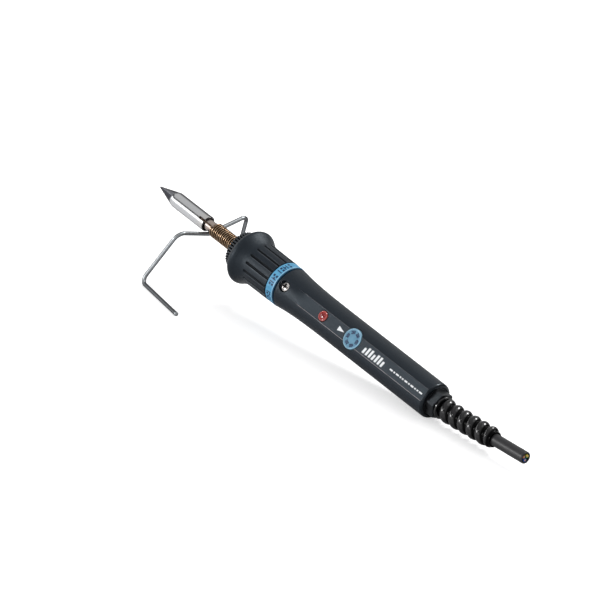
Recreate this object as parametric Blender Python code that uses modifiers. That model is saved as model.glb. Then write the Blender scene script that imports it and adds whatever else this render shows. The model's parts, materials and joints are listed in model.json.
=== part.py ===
"""Temperature-adjustable electric soldering iron lying on a bent-wire rest.

Row frame, metres: +X points from the tip towards the mains cord, +Y away from the dial side, +Z up,
with the table at z = 0 and the origin at the bottom centre of the whole object.
The iron is modelled in its own tool frame, which an empty carries: x runs back along the iron's
axis from just behind the point of the tip, and z is the direction that the dial, lens and screw face.

Sizes are in mm. In names, R is a radius, and START and END are the distances along the tool's x
of a part's end nearer the tip and its end nearer the cord.
"""

import math

import bmesh
import bpy
from mathutils import Matrix, Vector

MM = 0.001

# ---- pose of the iron on its rest
INCLINE = math.radians(6.863)  # the tip end is higher than the cord end
ROLL = math.radians(58.5)  # the dial faces sideways and up
TIP_X = -144.28  # the tool frame's origin in the row frame
TIP_Z = 36.34

# ---- fits and places that several parts share
CLEARANCE = 0.3  # radial gap round the spigot, dial, lens and cord
LEG_ANGLE = math.radians(8.0)  # the spring's leg and the tip's slot, from the dial direction
SPIGOT_R = 8.2
SPIGOT_HOLE_R = SPIGOT_R + CLEARANCE
SCREW_X = 112.3
LENS_X = 142.4
LENS_R = 2.7
DIAL_X = 165.9
DIAL_R = 5.5
CORD_R = 3.2
CORD_HOLE_R = CORD_R + CLEARANCE

for old in list(bpy.data.objects):
    bpy.data.objects.remove(old, do_unlink=True)

parts = bpy.data.collections.new("soldering_iron_on_rest")
cutters = bpy.data.collections.new("cutters")
for collection in (parts, cutters):
    bpy.context.scene.collection.children.link(collection)

# ------------------------------------------------------------------ materials
# name: (base colour, roughness, metallic)
FINISHES = {
    "plated_steel": ((0.62, 0.62, 0.64), 0.25, 1.0),
    "bronze_wire": ((0.36, 0.22, 0.12), 0.35, 1.0),
    "heated_steel": ((0.6, 0.53, 0.49), 0.3, 1.0),
    "ceramic": ((0.85, 0.83, 0.78), 0.6, 0.0),
    "black_nylon": ((0.03, 0.034, 0.04), 0.55, 0.0),
    "blue_plastic": ((0.16, 0.42, 0.58), 0.4, 0.0),
    "nickel": ((0.7, 0.68, 0.65), 0.25, 1.0),
    "red_lens": ((0.6, 0.04, 0.03), 0.15, 0.0),
    "board_green": ((0.03, 0.2, 0.08), 0.5, 0.0),
    "chip_black": ((0.02, 0.02, 0.02), 0.5, 0.0),
    "capacitor_blue": ((0.05, 0.1, 0.4), 0.4, 0.0),
    "resistor_tan": ((0.6, 0.5, 0.35), 0.5, 0.0),
    "lead_silicone": ((0.8, 0.78, 0.72), 0.6, 0.0),
    "terminal_nylon": ((0.75, 0.75, 0.7), 0.5, 0.0),
    "black_rubber": ((0.02, 0.02, 0.022), 0.3, 0.0),
    "cord_rubber": ((0.03, 0.03, 0.03), 0.6, 0.0),
    "core_brown": ((0.25, 0.1, 0.04), 0.5, 0.0),
    "core_blue": ((0.05, 0.15, 0.5), 0.5, 0.0),
    "core_green": ((0.1, 0.4, 0.1), 0.5, 0.0),
    "zinc_wire": ((0.5, 0.51, 0.5), 0.35, 1.0),
}


def make_material(name, colour, roughness, metallic):
    made = bpy.data.materials.new(name)
    made.use_nodes = True
    inputs = made.node_tree.nodes["Principled BSDF"].inputs
    inputs["Base Color"].default_value = (*colour, 1.0)
    inputs["Roughness"].default_value = roughness
    inputs["Metallic"].default_value = metallic
    return made


materials = {name: make_material(name, *finish) for name, finish in FINISHES.items()}

# ------------------------------------------------------------------ tool frame
axis = Vector((math.cos(INCLINE), 0.0, -math.sin(INCLINE)))
above = Vector((math.sin(INCLINE), 0.0, math.cos(INCLINE)))
dial_direction = math.cos(ROLL) * above + math.sin(ROLL) * Vector((0.0, -1.0, 0.0))
frame = Matrix((axis, dial_direction.cross(axis), dial_direction)).transposed().to_4x4()
frame.translation = Vector((TIP_X, 0.0, TIP_Z)) * MM

tool = bpy.data.objects.new("tool_frame", None)
tool.matrix_world = frame
parts.objects.link(tool)
bpy.context.view_layer.update()

# turns an object's own z to point to the tip
TURN = (0.0, -math.pi / 2, 0.0)


# ------------------------------------------------------------------ helpers
def place(name, data, mat, parent=tool):
    """An object with the named material; without a material it is a hidden helper."""
    obj = bpy.data.objects.new(name, data)
    obj.parent = parent
    if mat:
        parts.objects.link(obj)
        data.materials.append(materials[mat])
    else:
        cutters.objects.link(obj)
        obj.hide_render = True
        obj.display_type = "WIRE"
    return obj


def mesh_from(name, bm):
    mesh = bpy.data.meshes.new(name)
    bm.to_mesh(mesh)
    bm.free()
    return mesh


def spun(name, profile, mat, steps, hollow):
    """A profile of (z, radius) spun about the object's own z; a hollow one is a closed loop."""
    mesh = bpy.data.meshes.new(name)
    verts = [(radius * MM, 0.0, z * MM) for z, radius in profile]
    edges = [(i, i + 1) for i in range(len(verts) - 1)]
    if hollow:
        edges.append((len(verts) - 1, 0))
    mesh.from_pydata(verts, edges, [])
    obj = place(name, mesh, mat)
    screw = obj.modifiers.new("turn", "SCREW")
    screw.axis = "Z"
    screw.angle = 2 * math.pi
    screw.steps = screw.render_steps = steps
    screw.use_merge_vertices = True
    screw.merge_threshold = 0.00001
    screw.use_smooth_shade = True
    return obj


def turned(name, profile, mat=None, steps=32, hollow=False):
    """A part about the iron's axis, from (x, radius) listed front to back along the outside."""
    obj = spun(name, [(-x, radius) for x, radius in profile], mat, steps, hollow)
    obj.rotation_euler = TURN
    return obj


def upright(name, x, profile, mat, steps, y=0.0):
    """A part about a line along the tool's z, from (z, radius) listed down along the outside."""
    obj = spun(name, profile, mat, steps, hollow=False)
    obj.location = (x * MM, y * MM, 0.0)
    return obj


def cube_mesh(name, size, centre=(0.0, 0.0, 0.0)):
    bm = bmesh.new()
    bmesh.ops.create_cube(bm, size=1.0)
    bmesh.ops.scale(bm, vec=[length * MM for length in size], verts=bm.verts)
    bmesh.ops.translate(bm, vec=[value * MM for value in centre], verts=bm.verts)
    return mesh_from(name, bm)


def box(name, low, high, mat=None, bevel=0.0):
    """A box between two corners in the tool frame, with its origin at its centre."""
    obj = place(name, cube_mesh(name, [b - a for a, b in zip(low, high)]), mat)
    obj.location = [(a + b) / 2 * MM for a, b in zip(low, high)]
    if bevel:
        edges = obj.modifiers.new("edges", "BEVEL")
        edges.width = bevel * MM
        edges.segments = 2
    return obj


def prism_mesh(name, radius, length, sides, turn=0.0):
    bm = bmesh.new()
    bmesh.ops.create_cone(
        bm,
        cap_ends=True,
        segments=sides,
        radius1=radius * MM,
        radius2=radius * MM,
        depth=length * MM,
    )
    bmesh.ops.rotate(bm, verts=bm.verts, matrix=Matrix.Rotation(turn, 3, "Z"))
    return mesh_from(name, bm)


def prism(name, radius, start, end, sides, mat=None, turn=0.0, y=0.0, z=0.0):
    """A prism or cylinder along the tool's x."""
    obj = place(name, prism_mesh(name, radius, end - start, sides, turn), mat)
    obj.rotation_euler = TURN
    obj.location = ((start + end) / 2 * MM, y * MM, z * MM)
    return obj


def hole(name, x, radius, bottom, top, sides, y=0.0):
    """A round cutter along the tool's z."""
    obj = place(name, prism_mesh(name, radius, top - bottom, sides), None)
    obj.location = (x * MM, y * MM, (bottom + top) / 2 * MM)
    return obj


def wire(name, points, radius, mat=None, resolution=2, scales=None, parent=tool):
    """A round wire through points; scales, where given, multiply the radius at each point."""
    data = bpy.data.curves.new(name, "CURVE")
    data.dimensions = "3D"
    data.bevel_depth = radius * MM
    data.bevel_resolution = resolution
    data.use_fill_caps = True
    data.twist_mode = "MINIMUM"
    spline = data.splines.new("POLY")
    spline.points.add(len(points) - 1)
    for i, (x, y, z) in enumerate(points):
        spline.points[i].co = (x * MM, y * MM, z * MM, 1.0)
        if scales:
            spline.points[i].radius = scales[i]
    spline.use_smooth = True
    return place(name, data, mat, parent)


def as_mesh(curve, mat=None):
    """The curve as an unparented mesh with its caps welded on, so that it can be cut or can cut."""
    bpy.context.view_layer.update()
    evaluated = curve.evaluated_get(bpy.context.evaluated_depsgraph_get())
    mesh = bpy.data.meshes.new_from_object(evaluated)
    bm = bmesh.new()
    bm.from_mesh(mesh)
    bmesh.ops.remove_doubles(bm, verts=bm.verts, dist=0.000001)
    bmesh.ops.recalc_face_normals(bm, faces=bm.faces)
    bm.to_mesh(mesh)
    bm.free()
    name = curve.name
    world = curve.matrix_world.copy()
    bpy.data.objects.remove(curve, do_unlink=True)
    obj = place(name, mesh, mat, parent=None)
    obj.matrix_world = world
    return obj


def boolean(obj, cutter, operation="DIFFERENCE"):
    modifier = obj.modifiers.new(operation.lower(), "BOOLEAN")
    modifier.operation = operation
    modifier.object = cutter
    modifier.solver = "EXACT"


# ------------------------------------------------------------------ tip
TIP_POINT = -1.3
TIP_R = 4.3
TIP_END = 39.5
TIP_BORE_R = 3.4
CONE_END = 13.0
SLOT_WIDTH = 1.4
SLOT_START = 34.9


def make_tip():
    """A conical tip, bored from the back, with a slot in its rim for the spring's leg."""
    profile = [
        (TIP_POINT, 0.0),
        (TIP_POINT + 0.1, 0.3),
        (TIP_POINT + 0.4, 0.52),
        (CONE_END - 0.4, 4.12),
        (CONE_END + 0.6, TIP_R),
        (TIP_END - 0.4, TIP_R),
        (TIP_END, TIP_R - 0.3),
        (TIP_END, TIP_BORE_R),
        (15.6, TIP_BORE_R),
        (14.6, 2.6),
        (14.6, 0.0),
    ]
    tip = turned("soldering_tip", profile, "plated_steel", steps=24)
    low = (SLOT_START, -SLOT_WIDTH / 2, 2.6)
    high = (TIP_END + 2.0, SLOT_WIDTH / 2, 6.0)
    slot = box("tip_slot_cutter", low, high)
    # swing the slot about the iron's axis to the spring's leg
    slot.rotation_euler = (-LEG_ANGLE, 0.0, 0.0)
    slot.location = Matrix.Rotation(-LEG_ANGLE, 3, "X") @ slot.location
    boolean(tip, slot)


# ------------------------------------------------------------------ heater
TUBE_R = 3.0
TUBE_BORE_R = TUBE_R - 0.4
TUBE_END = 92.0
CORE_END = 88.6
BUSH_START = 72.0
BUSH_SHOULDER = 87.0
BUSH_END = 90.0
BUSH_BORE_R = 3.3


def make_heater():
    tube = [
        (17.2, 0.0),
        (17.5, 1.6),
        (18.6, 2.7),
        (19.6, TUBE_R),
        (TUBE_END, TUBE_R),
        (TUBE_END, TUBE_BORE_R),
        (19.8, TUBE_BORE_R),
        (18.9, 2.0),
        (18.3, 0.0),
    ]
    turned("heater_tube", tube, "heated_steel", steps=16)
    core = [
        (20.4, 0.0),
        (20.4, 1.7),
        (20.9, 2.1),
        (CORE_END - 0.4, 2.1),
        (CORE_END, 1.8),
        (CORE_END, 0.0),
    ]
    turned("heater_core", core, "ceramic", steps=12)
    bush = [
        (BUSH_START, BUSH_BORE_R),
        (BUSH_START, 5.6),
        (BUSH_START + 0.3, 5.9),
        (BUSH_SHOULDER, 5.9),
        (BUSH_SHOULDER, 6.9),
        (BUSH_END, 6.9),
        (BUSH_END, BUSH_BORE_R),
    ]
    turned("heater_bush", bush, "ceramic", steps=20, hollow=True)


# ------------------------------------------------------------------ spring with its holding leg
SPRING_R = 3.78
SPRING_WIRE_R = 0.45
SPRING_START = 45.65
SPRING_END = 69.3
SPRING_PITCH = 1.37
SPRING_STEPS = 12  # points in each turn


def make_spring():
    def around(x, angle):
        return (x, SPRING_R * math.sin(angle), SPRING_R * math.cos(angle))

    count = round((SPRING_END - SPRING_START) / SPRING_PITCH * SPRING_STEPS)
    leg = [around(x, LEG_ANGLE) for x in (36.2, 40.5, SPRING_START - 1.0)]
    coil = [
        around(
            SPRING_START + SPRING_PITCH * i / SPRING_STEPS,
            LEG_ANGLE - 2 * math.pi * i / SPRING_STEPS,
        )
        for i in range(count + 1)
    ]
    wire("tip_spring", leg + coil, SPRING_WIRE_R, "bronze_wire", resolution=0)


# ------------------------------------------------------------------ knurled ring nut
RING_START = 68.0
RING_END = 70.7
RING_R = 10.6
RING_ROOT_R = 9.9
RING_TEETH = 40
# (fraction of a tooth's pitch, radius)
RING_TOOTH = ((0.0, RING_ROOT_R), (0.32, RING_R), (0.68, RING_R))
HUB_R = 7.6
HUB_END = 76.5


def make_ring_nut():
    outline = bpy.data.curves.new("ring_nut_outline", "CURVE")
    outline.dimensions = "2D"
    outline.fill_mode = "BOTH"
    outline.extrude = (RING_END - RING_START) / 2 * MM
    teeth = outline.splines.new("POLY")
    teeth.points.add(RING_TEETH * len(RING_TOOTH) - 1)
    for k in range(RING_TEETH):
        for j, (fraction, radius) in enumerate(RING_TOOTH):
            angle = 2 * math.pi * (k + fraction) / RING_TEETH
            x, y = radius * MM * math.cos(angle), radius * MM * math.sin(angle)
            teeth.points[len(RING_TOOTH) * k + j].co = (x, y, 0.0, 1.0)
    teeth.use_cyclic_u = True
    curve = place("ring_nut", outline, None)
    curve.rotation_euler = TURN
    curve.location = ((RING_START + RING_END) / 2 * MM, 0.0, 0.0)
    ring_nut = as_mesh(curve, "black_nylon")

    hub = prism("ring_nut_hub", HUB_R, RING_END - 0.8, HUB_END, 24)
    bore = [(60.0, 0.0), (60.0, 4.9), (71.6, 4.9), (71.6, 6.3), (78.5, 6.3), (78.5, 0.0)]
    boolean(ring_nut, hub, "UNION")
    boolean(ring_nut, turned("ring_nut_bore", bore, steps=24))


# ------------------------------------------------------------------ front collar
COLLAR_START = 71.0
COLLAR_END = 101.25
COLLAR_R = 11.85
COLLAR_BORE_R = 8.0
COLLAR_WEB_R = 6.2  # the narrow middle of the bore
FLARE_R = 15.05
SPIGOT_END = 118.0
SPIGOT_BORE_R = 7.2
FLUTES = 16
FLUTE_START = 83.6
FLUTE_LENGTH = 24.0
FLUTE_R = 0.8
FLUTE_DEPTH = 0.6


def flute_cutters():
    """Round bars with rounded ends, in a ring about the collar."""
    bm = bmesh.new()
    ring_r = COLLAR_R + FLUTE_R - FLUTE_DEPTH
    for k in range(FLUTES):
        angle = 2 * math.pi * (k + 0.5) / FLUTES
        made = bmesh.ops.create_uvsphere(bm, u_segments=8, v_segments=4, radius=FLUTE_R * MM)
        # the sphere's half away from the tip is moved back, which stretches it into a bar
        for vert in made["verts"]:
            if vert.co.z < -0.0000001:
                vert.co.z -= FLUTE_LENGTH * MM
        centre = (
            ring_r * MM * math.cos(angle),
            ring_r * MM * math.sin(angle),
            -(FLUTE_START + FLUTE_R - 0.3) * MM,
        )
        bmesh.ops.translate(bm, verts=made["verts"], vec=centre)
    flutes = place("flute_cutters", mesh_from("flute_cutters", bm), None)
    flutes.rotation_euler = TURN
    return flutes


def make_front_collar():
    """A flared, fluted collar with a spigot that enters the handle."""
    profile = [
        (COLLAR_START, 10.75),
        (COLLAR_START + 0.05, 11.0),
        (71.6, 12.1),
        (72.3, 13.1),
        (73.0, 13.9),
        (74.0, 14.65),
        (75.1, FLARE_R),
        (76.2, 14.9),
        (77.4, 14.3),
        (78.6, 13.6),
        (80.0, 12.95),
        (81.4, 12.4),
        (82.8, 12.05),
        (84.6, COLLAR_R),
        (COLLAR_END, COLLAR_R - 0.15),
        (COLLAR_END, SPIGOT_R),
        (SPIGOT_END, SPIGOT_R),
        (SPIGOT_END, SPIGOT_BORE_R),
        (86.7, SPIGOT_BORE_R),
        (86.7, COLLAR_WEB_R),
        (77.0, COLLAR_WEB_R),
        (77.0, COLLAR_BORE_R),
        (COLLAR_START, COLLAR_BORE_R),
    ]
    collar = turned("front_collar", profile, "black_nylon", hollow=True)
    boolean(collar, flute_cutters())
    boolean(collar, hole("collar_screw_hole", SCREW_X, 1.3, 4.0, 12.0, 12))


MARKER_START = 101.5
MARKER_END = 107.3
MARKER_R = 11.6


def make_marker_ring():
    profile = [
        (MARKER_START, SPIGOT_HOLE_R),
        (MARKER_START, MARKER_R - 0.35),
        (MARKER_START + 0.4, MARKER_R),
        (MARKER_END - 0.4, MARKER_R),
        (MARKER_END, MARKER_R - 0.35),
        (MARKER_END, SPIGOT_HOLE_R),
    ]
    turned("marker_ring", profile, "blue_plastic", steps=36, hollow=True)


# ------------------------------------------------------------------ handle shell
HANDLE_START = 107.95
HANDLE_END = 224.2
HANDLE_BORE_R = 8.0
GRIP_R = 9.75
FLAT_START = 123.0
FLAT_HALF_WIDTH = 3.3
# name, x, radius, bottom, sides
HANDLE_HOLES = (
    ("dial_hole", DIAL_X, DIAL_R + CLEARANCE, 2.0, 28),
    ("lens_hole", LENS_X, LENS_R + CLEARANCE, 2.0, 16),
    ("screw_counterbore", SCREW_X, 3.25, 9.1, 16),
    ("screw_hole", SCREW_X, 1.45, 2.0, 16),
)


def make_handle():
    profile = [
        (HANDLE_START, SPIGOT_HOLE_R),
        (HANDLE_START, 11.05),
        (108.25, 11.3),
        (109.3, 11.3),
        (111.9, 11.0),
        (115.8, 10.64),
        (119.7, 10.4),
        (127.5, 10.08),
        (143.0, 9.82),
        (200.0, GRIP_R),
        (222.95, GRIP_R),
        (223.5, 9.55),
        (224.0, 9.05),
        (HANDLE_END, 8.5),
        (HANDLE_END, HANDLE_BORE_R),
        (118.6, HANDLE_BORE_R),
        (118.3, SPIGOT_HOLE_R),
    ]
    handle = turned("handle_shell", profile, "black_nylon", steps=36, hollow=True)
    flat_z = math.sqrt(GRIP_R**2 - FLAT_HALF_WIDTH**2)
    flat = box("flat_cutter", (FLAT_START, -5.0, flat_z), (HANDLE_END + 5.0, 5.0, 14.0))
    boolean(handle, flat)
    for name, x, radius, bottom, sides in HANDLE_HOLES:
        boolean(handle, hole(name, x, radius, bottom, 16.0, sides))


# ------------------------------------------------------------------ screw, lens and dial
SHANK_R = 1.05
CROSS_LENGTH = 3.4
CROSS_WIDTH = 0.64
DIAL_TOP = 9.55
DIAL_BOTTOM = 6.9
DIAL_BORE_R = 1.8
DIAL_BORE_TOP = 8.6
SHAFT_R = 1.5


def make_fixing_screw():
    profile = [
        (10.55, 0.0),
        (10.45, 1.6),
        (10.1, 2.45),
        (9.7, 2.6),
        (9.35, 2.6),
        (9.35, SHANK_R),
        (6.6, SHANK_R),
        (6.3, 0.7),
        (6.3, 0.0),
    ]
    screw = upright("fixing_screw", SCREW_X, profile, "nickel", 16)
    for name, size_x, size_y in (
        ("screw_cross_a", CROSS_LENGTH, CROSS_WIDTH),
        ("screw_cross_b", CROSS_WIDTH, CROSS_LENGTH),
    ):
        low = (SCREW_X - size_x / 2, -size_y / 2, 9.9)
        high = (SCREW_X + size_x / 2, size_y / 2, 11.2)
        boolean(screw, box(name, low, high))


def make_lens():
    profile = [
        (10.05, 0.0),
        (9.98, 0.9),
        (9.75, 1.8),
        (9.45, 2.4),
        (9.15, LENS_R),
        (6.7, LENS_R),
        (6.7, 0.0),
    ]
    upright("indicator_lens", LENS_X, profile, "red_lens", 20)


def make_dial():
    """The dial, with a low rim and a blind bore below, and the shaft in the bore."""
    profile = [
        (DIAL_TOP - 0.3, 0.0),
        (DIAL_TOP - 0.3, DIAL_R - 0.75),
        (DIAL_TOP, DIAL_R - 0.6),
        (DIAL_TOP, DIAL_R - 0.2),
        (DIAL_TOP - 0.2, DIAL_R),
        (DIAL_BOTTOM, DIAL_R),
        (DIAL_BOTTOM, DIAL_BORE_R),
        (DIAL_BORE_TOP, DIAL_BORE_R),
        (DIAL_BORE_TOP, 0.0),
    ]
    upright("temperature_dial", DIAL_X, profile, "blue_plastic", 32)
    shaft = [(8.3, 0.0), (8.3, 1.3), (8.1, SHAFT_R), (0.2, SHAFT_R), (0.2, 0.0)]
    upright("potentiometer_shaft", DIAL_X, shaft, "nickel", 16)


# ------------------------------------------------------------------ electronics inside the handle
BOARD_TOP = -2.0
PART_BOTTOM = BOARD_TOP + 0.3  # the underside of the parts over the board
POT_HALF = 5.0
LED_R = 1.5
LED_RIM_R = 1.8
LED_STEM_R = 0.8
# x, distance from the middle plane, z
HEATER_LEAD = (
    (89.0, 0.95, 0.0),
    (96.0, 1.3, 0.0),
    (112.0, 2.0, -0.3),
    (126.0, 3.2, -1.0),
    (134.0, 3.6, -1.2),
)
# x, y, z
EARTH_LEAD = (
    (92.5, 0.0, -2.8),
    (96.0, 0.0, -3.6),
    (104.0, 0.0, -4.9),
    (126.0, 0.0, -5.3),
    (190.0, 0.0, -5.3),
    (198.0, 0.0, -5.0),
    (201.6, 0.0, -3.9),
)


def make_potentiometer():
    low = (DIAL_X - POT_HALF, -POT_HALF, PART_BOTTOM)
    high = (DIAL_X + POT_HALF, POT_HALF, 3.2)
    body = box("potentiometer_body", low, high, "chip_black", bevel=0.4)
    boolean(body, hole("pot_bore", DIAL_X, SHAFT_R + CLEARANCE, -0.2, 6.0, 20))


def make_led():
    profile = [
        (6.2, 0.0),
        (6.05, 0.75),
        (5.6, 1.3),
        (5.0, LED_R),
        (1.6, LED_R),
        (1.6, LED_RIM_R),
        (0.8, LED_RIM_R),
        (0.8, LED_STEM_R),
        (PART_BOTTOM, LED_STEM_R),
        (PART_BOTTOM, 0.0),
    ]
    upright("indicator_led", LENS_X, profile, "red_lens", 16)


def make_electronics():
    box("circuit_board", (129.0, -6.8, -3.2), (200.0, 6.8, BOARD_TOP), "board_green")
    make_potentiometer()
    make_led()
    chip_low = (148.0, -3.2, PART_BOTTOM)
    box("control_chip", chip_low, (157.6, 3.2, 1.5), "chip_black", bevel=0.3)
    box("triac", (175.0, -6.0, PART_BOTTOM), (185.0, -1.5, 2.6), "chip_black", bevel=0.3)
    prism("capacitor", 2.8, 187.5, 197.5, 20, "capacitor_blue", z=1.2)
    prism("drop_resistor", 1.5, 175.0, 184.0, 14, "resistor_tan", y=3.0)
    block_low, block_high = (202.0, -5.5, -3.6), (212.0, 5.5, 3.6)
    box("terminal_block", block_low, block_high, "terminal_nylon", bevel=0.4)


def make_leads():
    for name, sign in (("heater_lead_a", 1.0), ("heater_lead_b", -1.0)):
        points = [(x, y * sign, z) for x, y, z in HEATER_LEAD]
        wire(name, points, 0.5, "lead_silicone", resolution=1)
    wire("earth_lead", EARTH_LEAD, 0.6, "core_green", resolution=1)


# ------------------------------------------------------------------ end bushing and cable clamp
HEX_R = 7.6
HEX_START = 223.6
HEX_END = 229.4
HEX_TURN = math.radians(15.0)  # how far a facet is turned from the dial direction
SLEEVE_SEAT_R = 5.2  # the wide part of the bore, round the bend protector's sleeve
CLAMP_START = 215.4
CLAMP_END = 219.4
CLAMP_SCREW_Y = 4.65
CLAMP_SCREW_R = 0.6


def make_end_bushing(cord_way):
    """A round plug with a hexagonal end and a half-round tongue reaching in under the cord."""
    plug = [(220.4, 0.0), (220.4, 7.7), (223.7, 7.7), (224.0, 7.0), (224.0, 0.0)]
    bushing = turned("end_bushing", plug, "black_nylon", steps=28)
    hex_block = prism("hex_block", HEX_R, HEX_START, HEX_END, 6, turn=HEX_TURN)
    tongue_profile = [(213.8, 0.0), (213.8, 7.5), (221.2, 7.5), (221.2, 0.0)]
    tongue = turned("tongue", tongue_profile, steps=28)
    boolean(tongue, box("tongue_trim", (210.0, -9.0, -0.3), (220.4, 9.0, 9.0)))
    boolean(bushing, hex_block, "UNION")
    boolean(bushing, tongue, "UNION")
    boolean(bushing, cord_way)
    return bushing


def make_clamped_end():
    """The bushing and the clamp over its tongue, bored for the cord and held by two screws."""
    way = [
        (206.0, 0.0),
        (206.0, CORD_HOLE_R),
        (220.8, CORD_HOLE_R),
        (220.8, SLEEVE_SEAT_R),
        (236.0, SLEEVE_SEAT_R),
        (236.0, 0.0),
    ]
    cord_way = turned("cord_way", way, steps=20)
    bushing = make_end_bushing(cord_way)
    low, high = (CLAMP_START, -5.9, 0.0), (CLAMP_END, 5.9, 4.2)
    clamp = box("cable_clamp", low, high, "terminal_nylon", bevel=0.4)
    boolean(clamp, cord_way)

    x = (CLAMP_START + CLAMP_END) / 2
    screw = [
        (5.2, 0.0),
        (5.2, 0.7),
        (4.9, 1.0),
        (4.5, 1.0),
        (4.5, CLAMP_SCREW_R),
        (-3.2, CLAMP_SCREW_R),
        (-3.2, 0.0),
    ]
    for name, y in (("clamp_screw_a", CLAMP_SCREW_Y), ("clamp_screw_b", -CLAMP_SCREW_Y)):
        screw_hole = hole("hole_" + name, x, 0.85, -3.6, 8.0, 12, y=y)
        boolean(clamp, screw_hole)
        boolean(bushing, screw_hole)
        upright(name, x, screw, "nickel", 12, y=y)


# ------------------------------------------------------------------ line of the cord
CORD_START = 214.0
CORD_END = 291.1
BEND_START = 228.5
BEND_END = 241.5
BEND_STATIONS = [BEND_START + (BEND_END - BEND_START) * i / 5 for i in range(6)]


def rise(x):
    """How far the cord's centre line stands above the iron's axis; it ends up level."""
    slope = math.tan(INCLINE)
    if x <= BEND_START:
        return 0.0
    if x <= BEND_END:
        return slope * (x - BEND_START) ** 2 / (2 * (BEND_END - BEND_START))
    return slope * (BEND_END - BEND_START) / 2 + slope * (x - BEND_END)


def on_cord(x, y=0.0, z=0.0):
    """A point at distance x, offset by y and z in the tool frame from the cord's centre line."""
    height = rise(x)
    return (x, height * math.sin(ROLL) + y, height * math.cos(ROLL) + z)


# ------------------------------------------------------------------ bend protector
SLEEVE_R = 4.9
FLANGE_R = 6.2
RIDGE_R = 5.95
VALLEY_R = 4.55
RIDGE_START = 231.6
RIDGE_PITCH = 6.45
# (distance from the ridge's start, radius before the taper)
RIDGE = (
    (0.0, VALLEY_R),
    (0.9, VALLEY_R + 0.05),
    (2.3, RIDGE_R - 0.15),
    (3.4, RIDGE_R),
    (4.6, RIDGE_R - 0.15),
    (5.8, VALLEY_R + 0.1),
)
TAPER = 0.35  # how much the radius shrinks from the taper's start to the guard's end
TAPER_START = 231.2
GUARD_END = 268.9


def guard_stations():
    """The guard's outline as (x, radius)."""
    stations = [
        (221.4, SLEEVE_R),
        (BEND_START, SLEEVE_R),
        (229.65, SLEEVE_R),
        (229.7, FLANGE_R - 0.2),
        (229.85, FLANGE_R),
        (230.7, FLANGE_R),
        (230.95, 5.6),
    ]
    x = RIDGE_START
    while x < GUARD_END - 6.0:
        taper = TAPER * (x - TAPER_START) / (GUARD_END - TAPER_START)
        stations += [(x + offset, radius - taper) for offset, radius in RIDGE]
        x += RIDGE_PITCH
    return stations + [(x, 4.4), (GUARD_END, 4.3)]


def make_bend_protector():
    """A ridged, flanged sleeve along the cord's line."""
    stations = guard_stations()
    points = [on_cord(x) for x, _ in stations]
    scales = [radius for _, radius in stations]
    outside = wire("bend_protector", points, 1.0, resolution=4, scales=scales)
    guard = as_mesh(outside, "black_rubber")
    bore_points = [on_cord(x) for x in [218.0, *BEND_STATIONS, GUARD_END + 6.0]]
    boolean(guard, as_mesh(wire("guard_bore", bore_points, CORD_HOLE_R, resolution=4)))


# ------------------------------------------------------------------ cord, cut off square
SHEATH_BORE_R = 2.45
CORE_R = 0.92
CORE_OFFSET = 1.25  # from the cord's centre line to a core's
CORE_START = 212.5
CORES = (
    ("live_core", "core_brown"),
    ("neutral_core", "core_blue"),
    ("earth_core", "core_green"),
)


def make_cord():
    middle = [*BEND_STATIONS, 270.0]
    points = [on_cord(x) for x in [CORD_START, *middle, CORD_END]]
    sheath = as_mesh(wire("cord_sheath", points, CORD_R, resolution=4), "cord_rubber")
    bore_points = [on_cord(x) for x in [CORD_START - 3.0, *middle, CORD_END + 3.0]]
    boolean(sheath, as_mesh(wire("sheath_bore", bore_points, SHEATH_BORE_R, resolution=4)))

    for k, (name, mat) in enumerate(CORES):
        angle = math.pi / 2 + 2 * math.pi * k / 3
        y, z = CORE_OFFSET * math.cos(angle), CORE_OFFSET * math.sin(angle)
        stations = [CORE_START, CORD_START, *middle, CORD_END - 0.05]
        wire(name, [on_cord(x, y, z) for x in stations], CORE_R, mat, resolution=1)


# ------------------------------------------------------------------ wire rest
REST_WIRE_R = 1.1
FOOT_Z = 1.0  # the feet's centre line above the table


def foot(along, sideways):
    """A point of a foot, so deep below the iron's sloping axis that it stands at FOOT_Z."""
    return (along, sideways, (TIP_Z - along * math.sin(INCLINE) - FOOT_Z) / math.cos(INCLINE))


# distances along the iron, sideways in the row frame's y, and below the iron's axis
REST_CORNERS = (
    foot(73.5, -41.6),  # near toe, on the dial side
    foot(33.0, -32.0),  # near heel
    (41.7, -21.8, 0.0),  # near shoulder
    (41.7, 0.0, 4.56),  # low point under the iron
    (41.7, 24.4, -1.75),  # far shoulder
    foot(33.0, 32.0),  # far heel
    foot(73.5, 41.6),  # far toe
)
REST_BEND_RADII = (3.4, 5.0, 3.2, 4.0, 3.4)  # at the five corners between the toes
ARC_STEP = 18.0  # degrees, the longest step round a bend


def in_row(point):
    """A point measured as in REST_CORNERS, in row coordinates."""
    along, sideways, below = point
    on_plane = Vector((TIP_X, 0.0, TIP_Z)) + axis * along - above * below
    return Vector((on_plane.x, sideways, on_plane.z))


def filleted(points, radii):
    """A polyline whose inner corners are replaced by arcs of the given radii."""
    path = [points[0]]
    for before, corner, after, radius in zip(points, points[1:], points[2:], radii):
        back = (before - corner).normalized()
        ahead = (after - corner).normalized()
        half = back.angle(ahead) / 2
        reach = radius / math.tan(half)
        centre = corner + (back + ahead).normalized() * (radius / math.sin(half))
        start = corner + back * reach - centre
        end = corner + ahead * reach - centre
        sweep = math.pi - 2 * half
        normal = start.cross(end).normalized()
        steps = max(3, math.ceil(math.degrees(sweep) / ARC_STEP))
        for j in range(steps + 1):
            path.append(centre + Matrix.Rotation(sweep * j / steps, 3, normal) @ start)
    path.append(points[-1])
    return path


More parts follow.
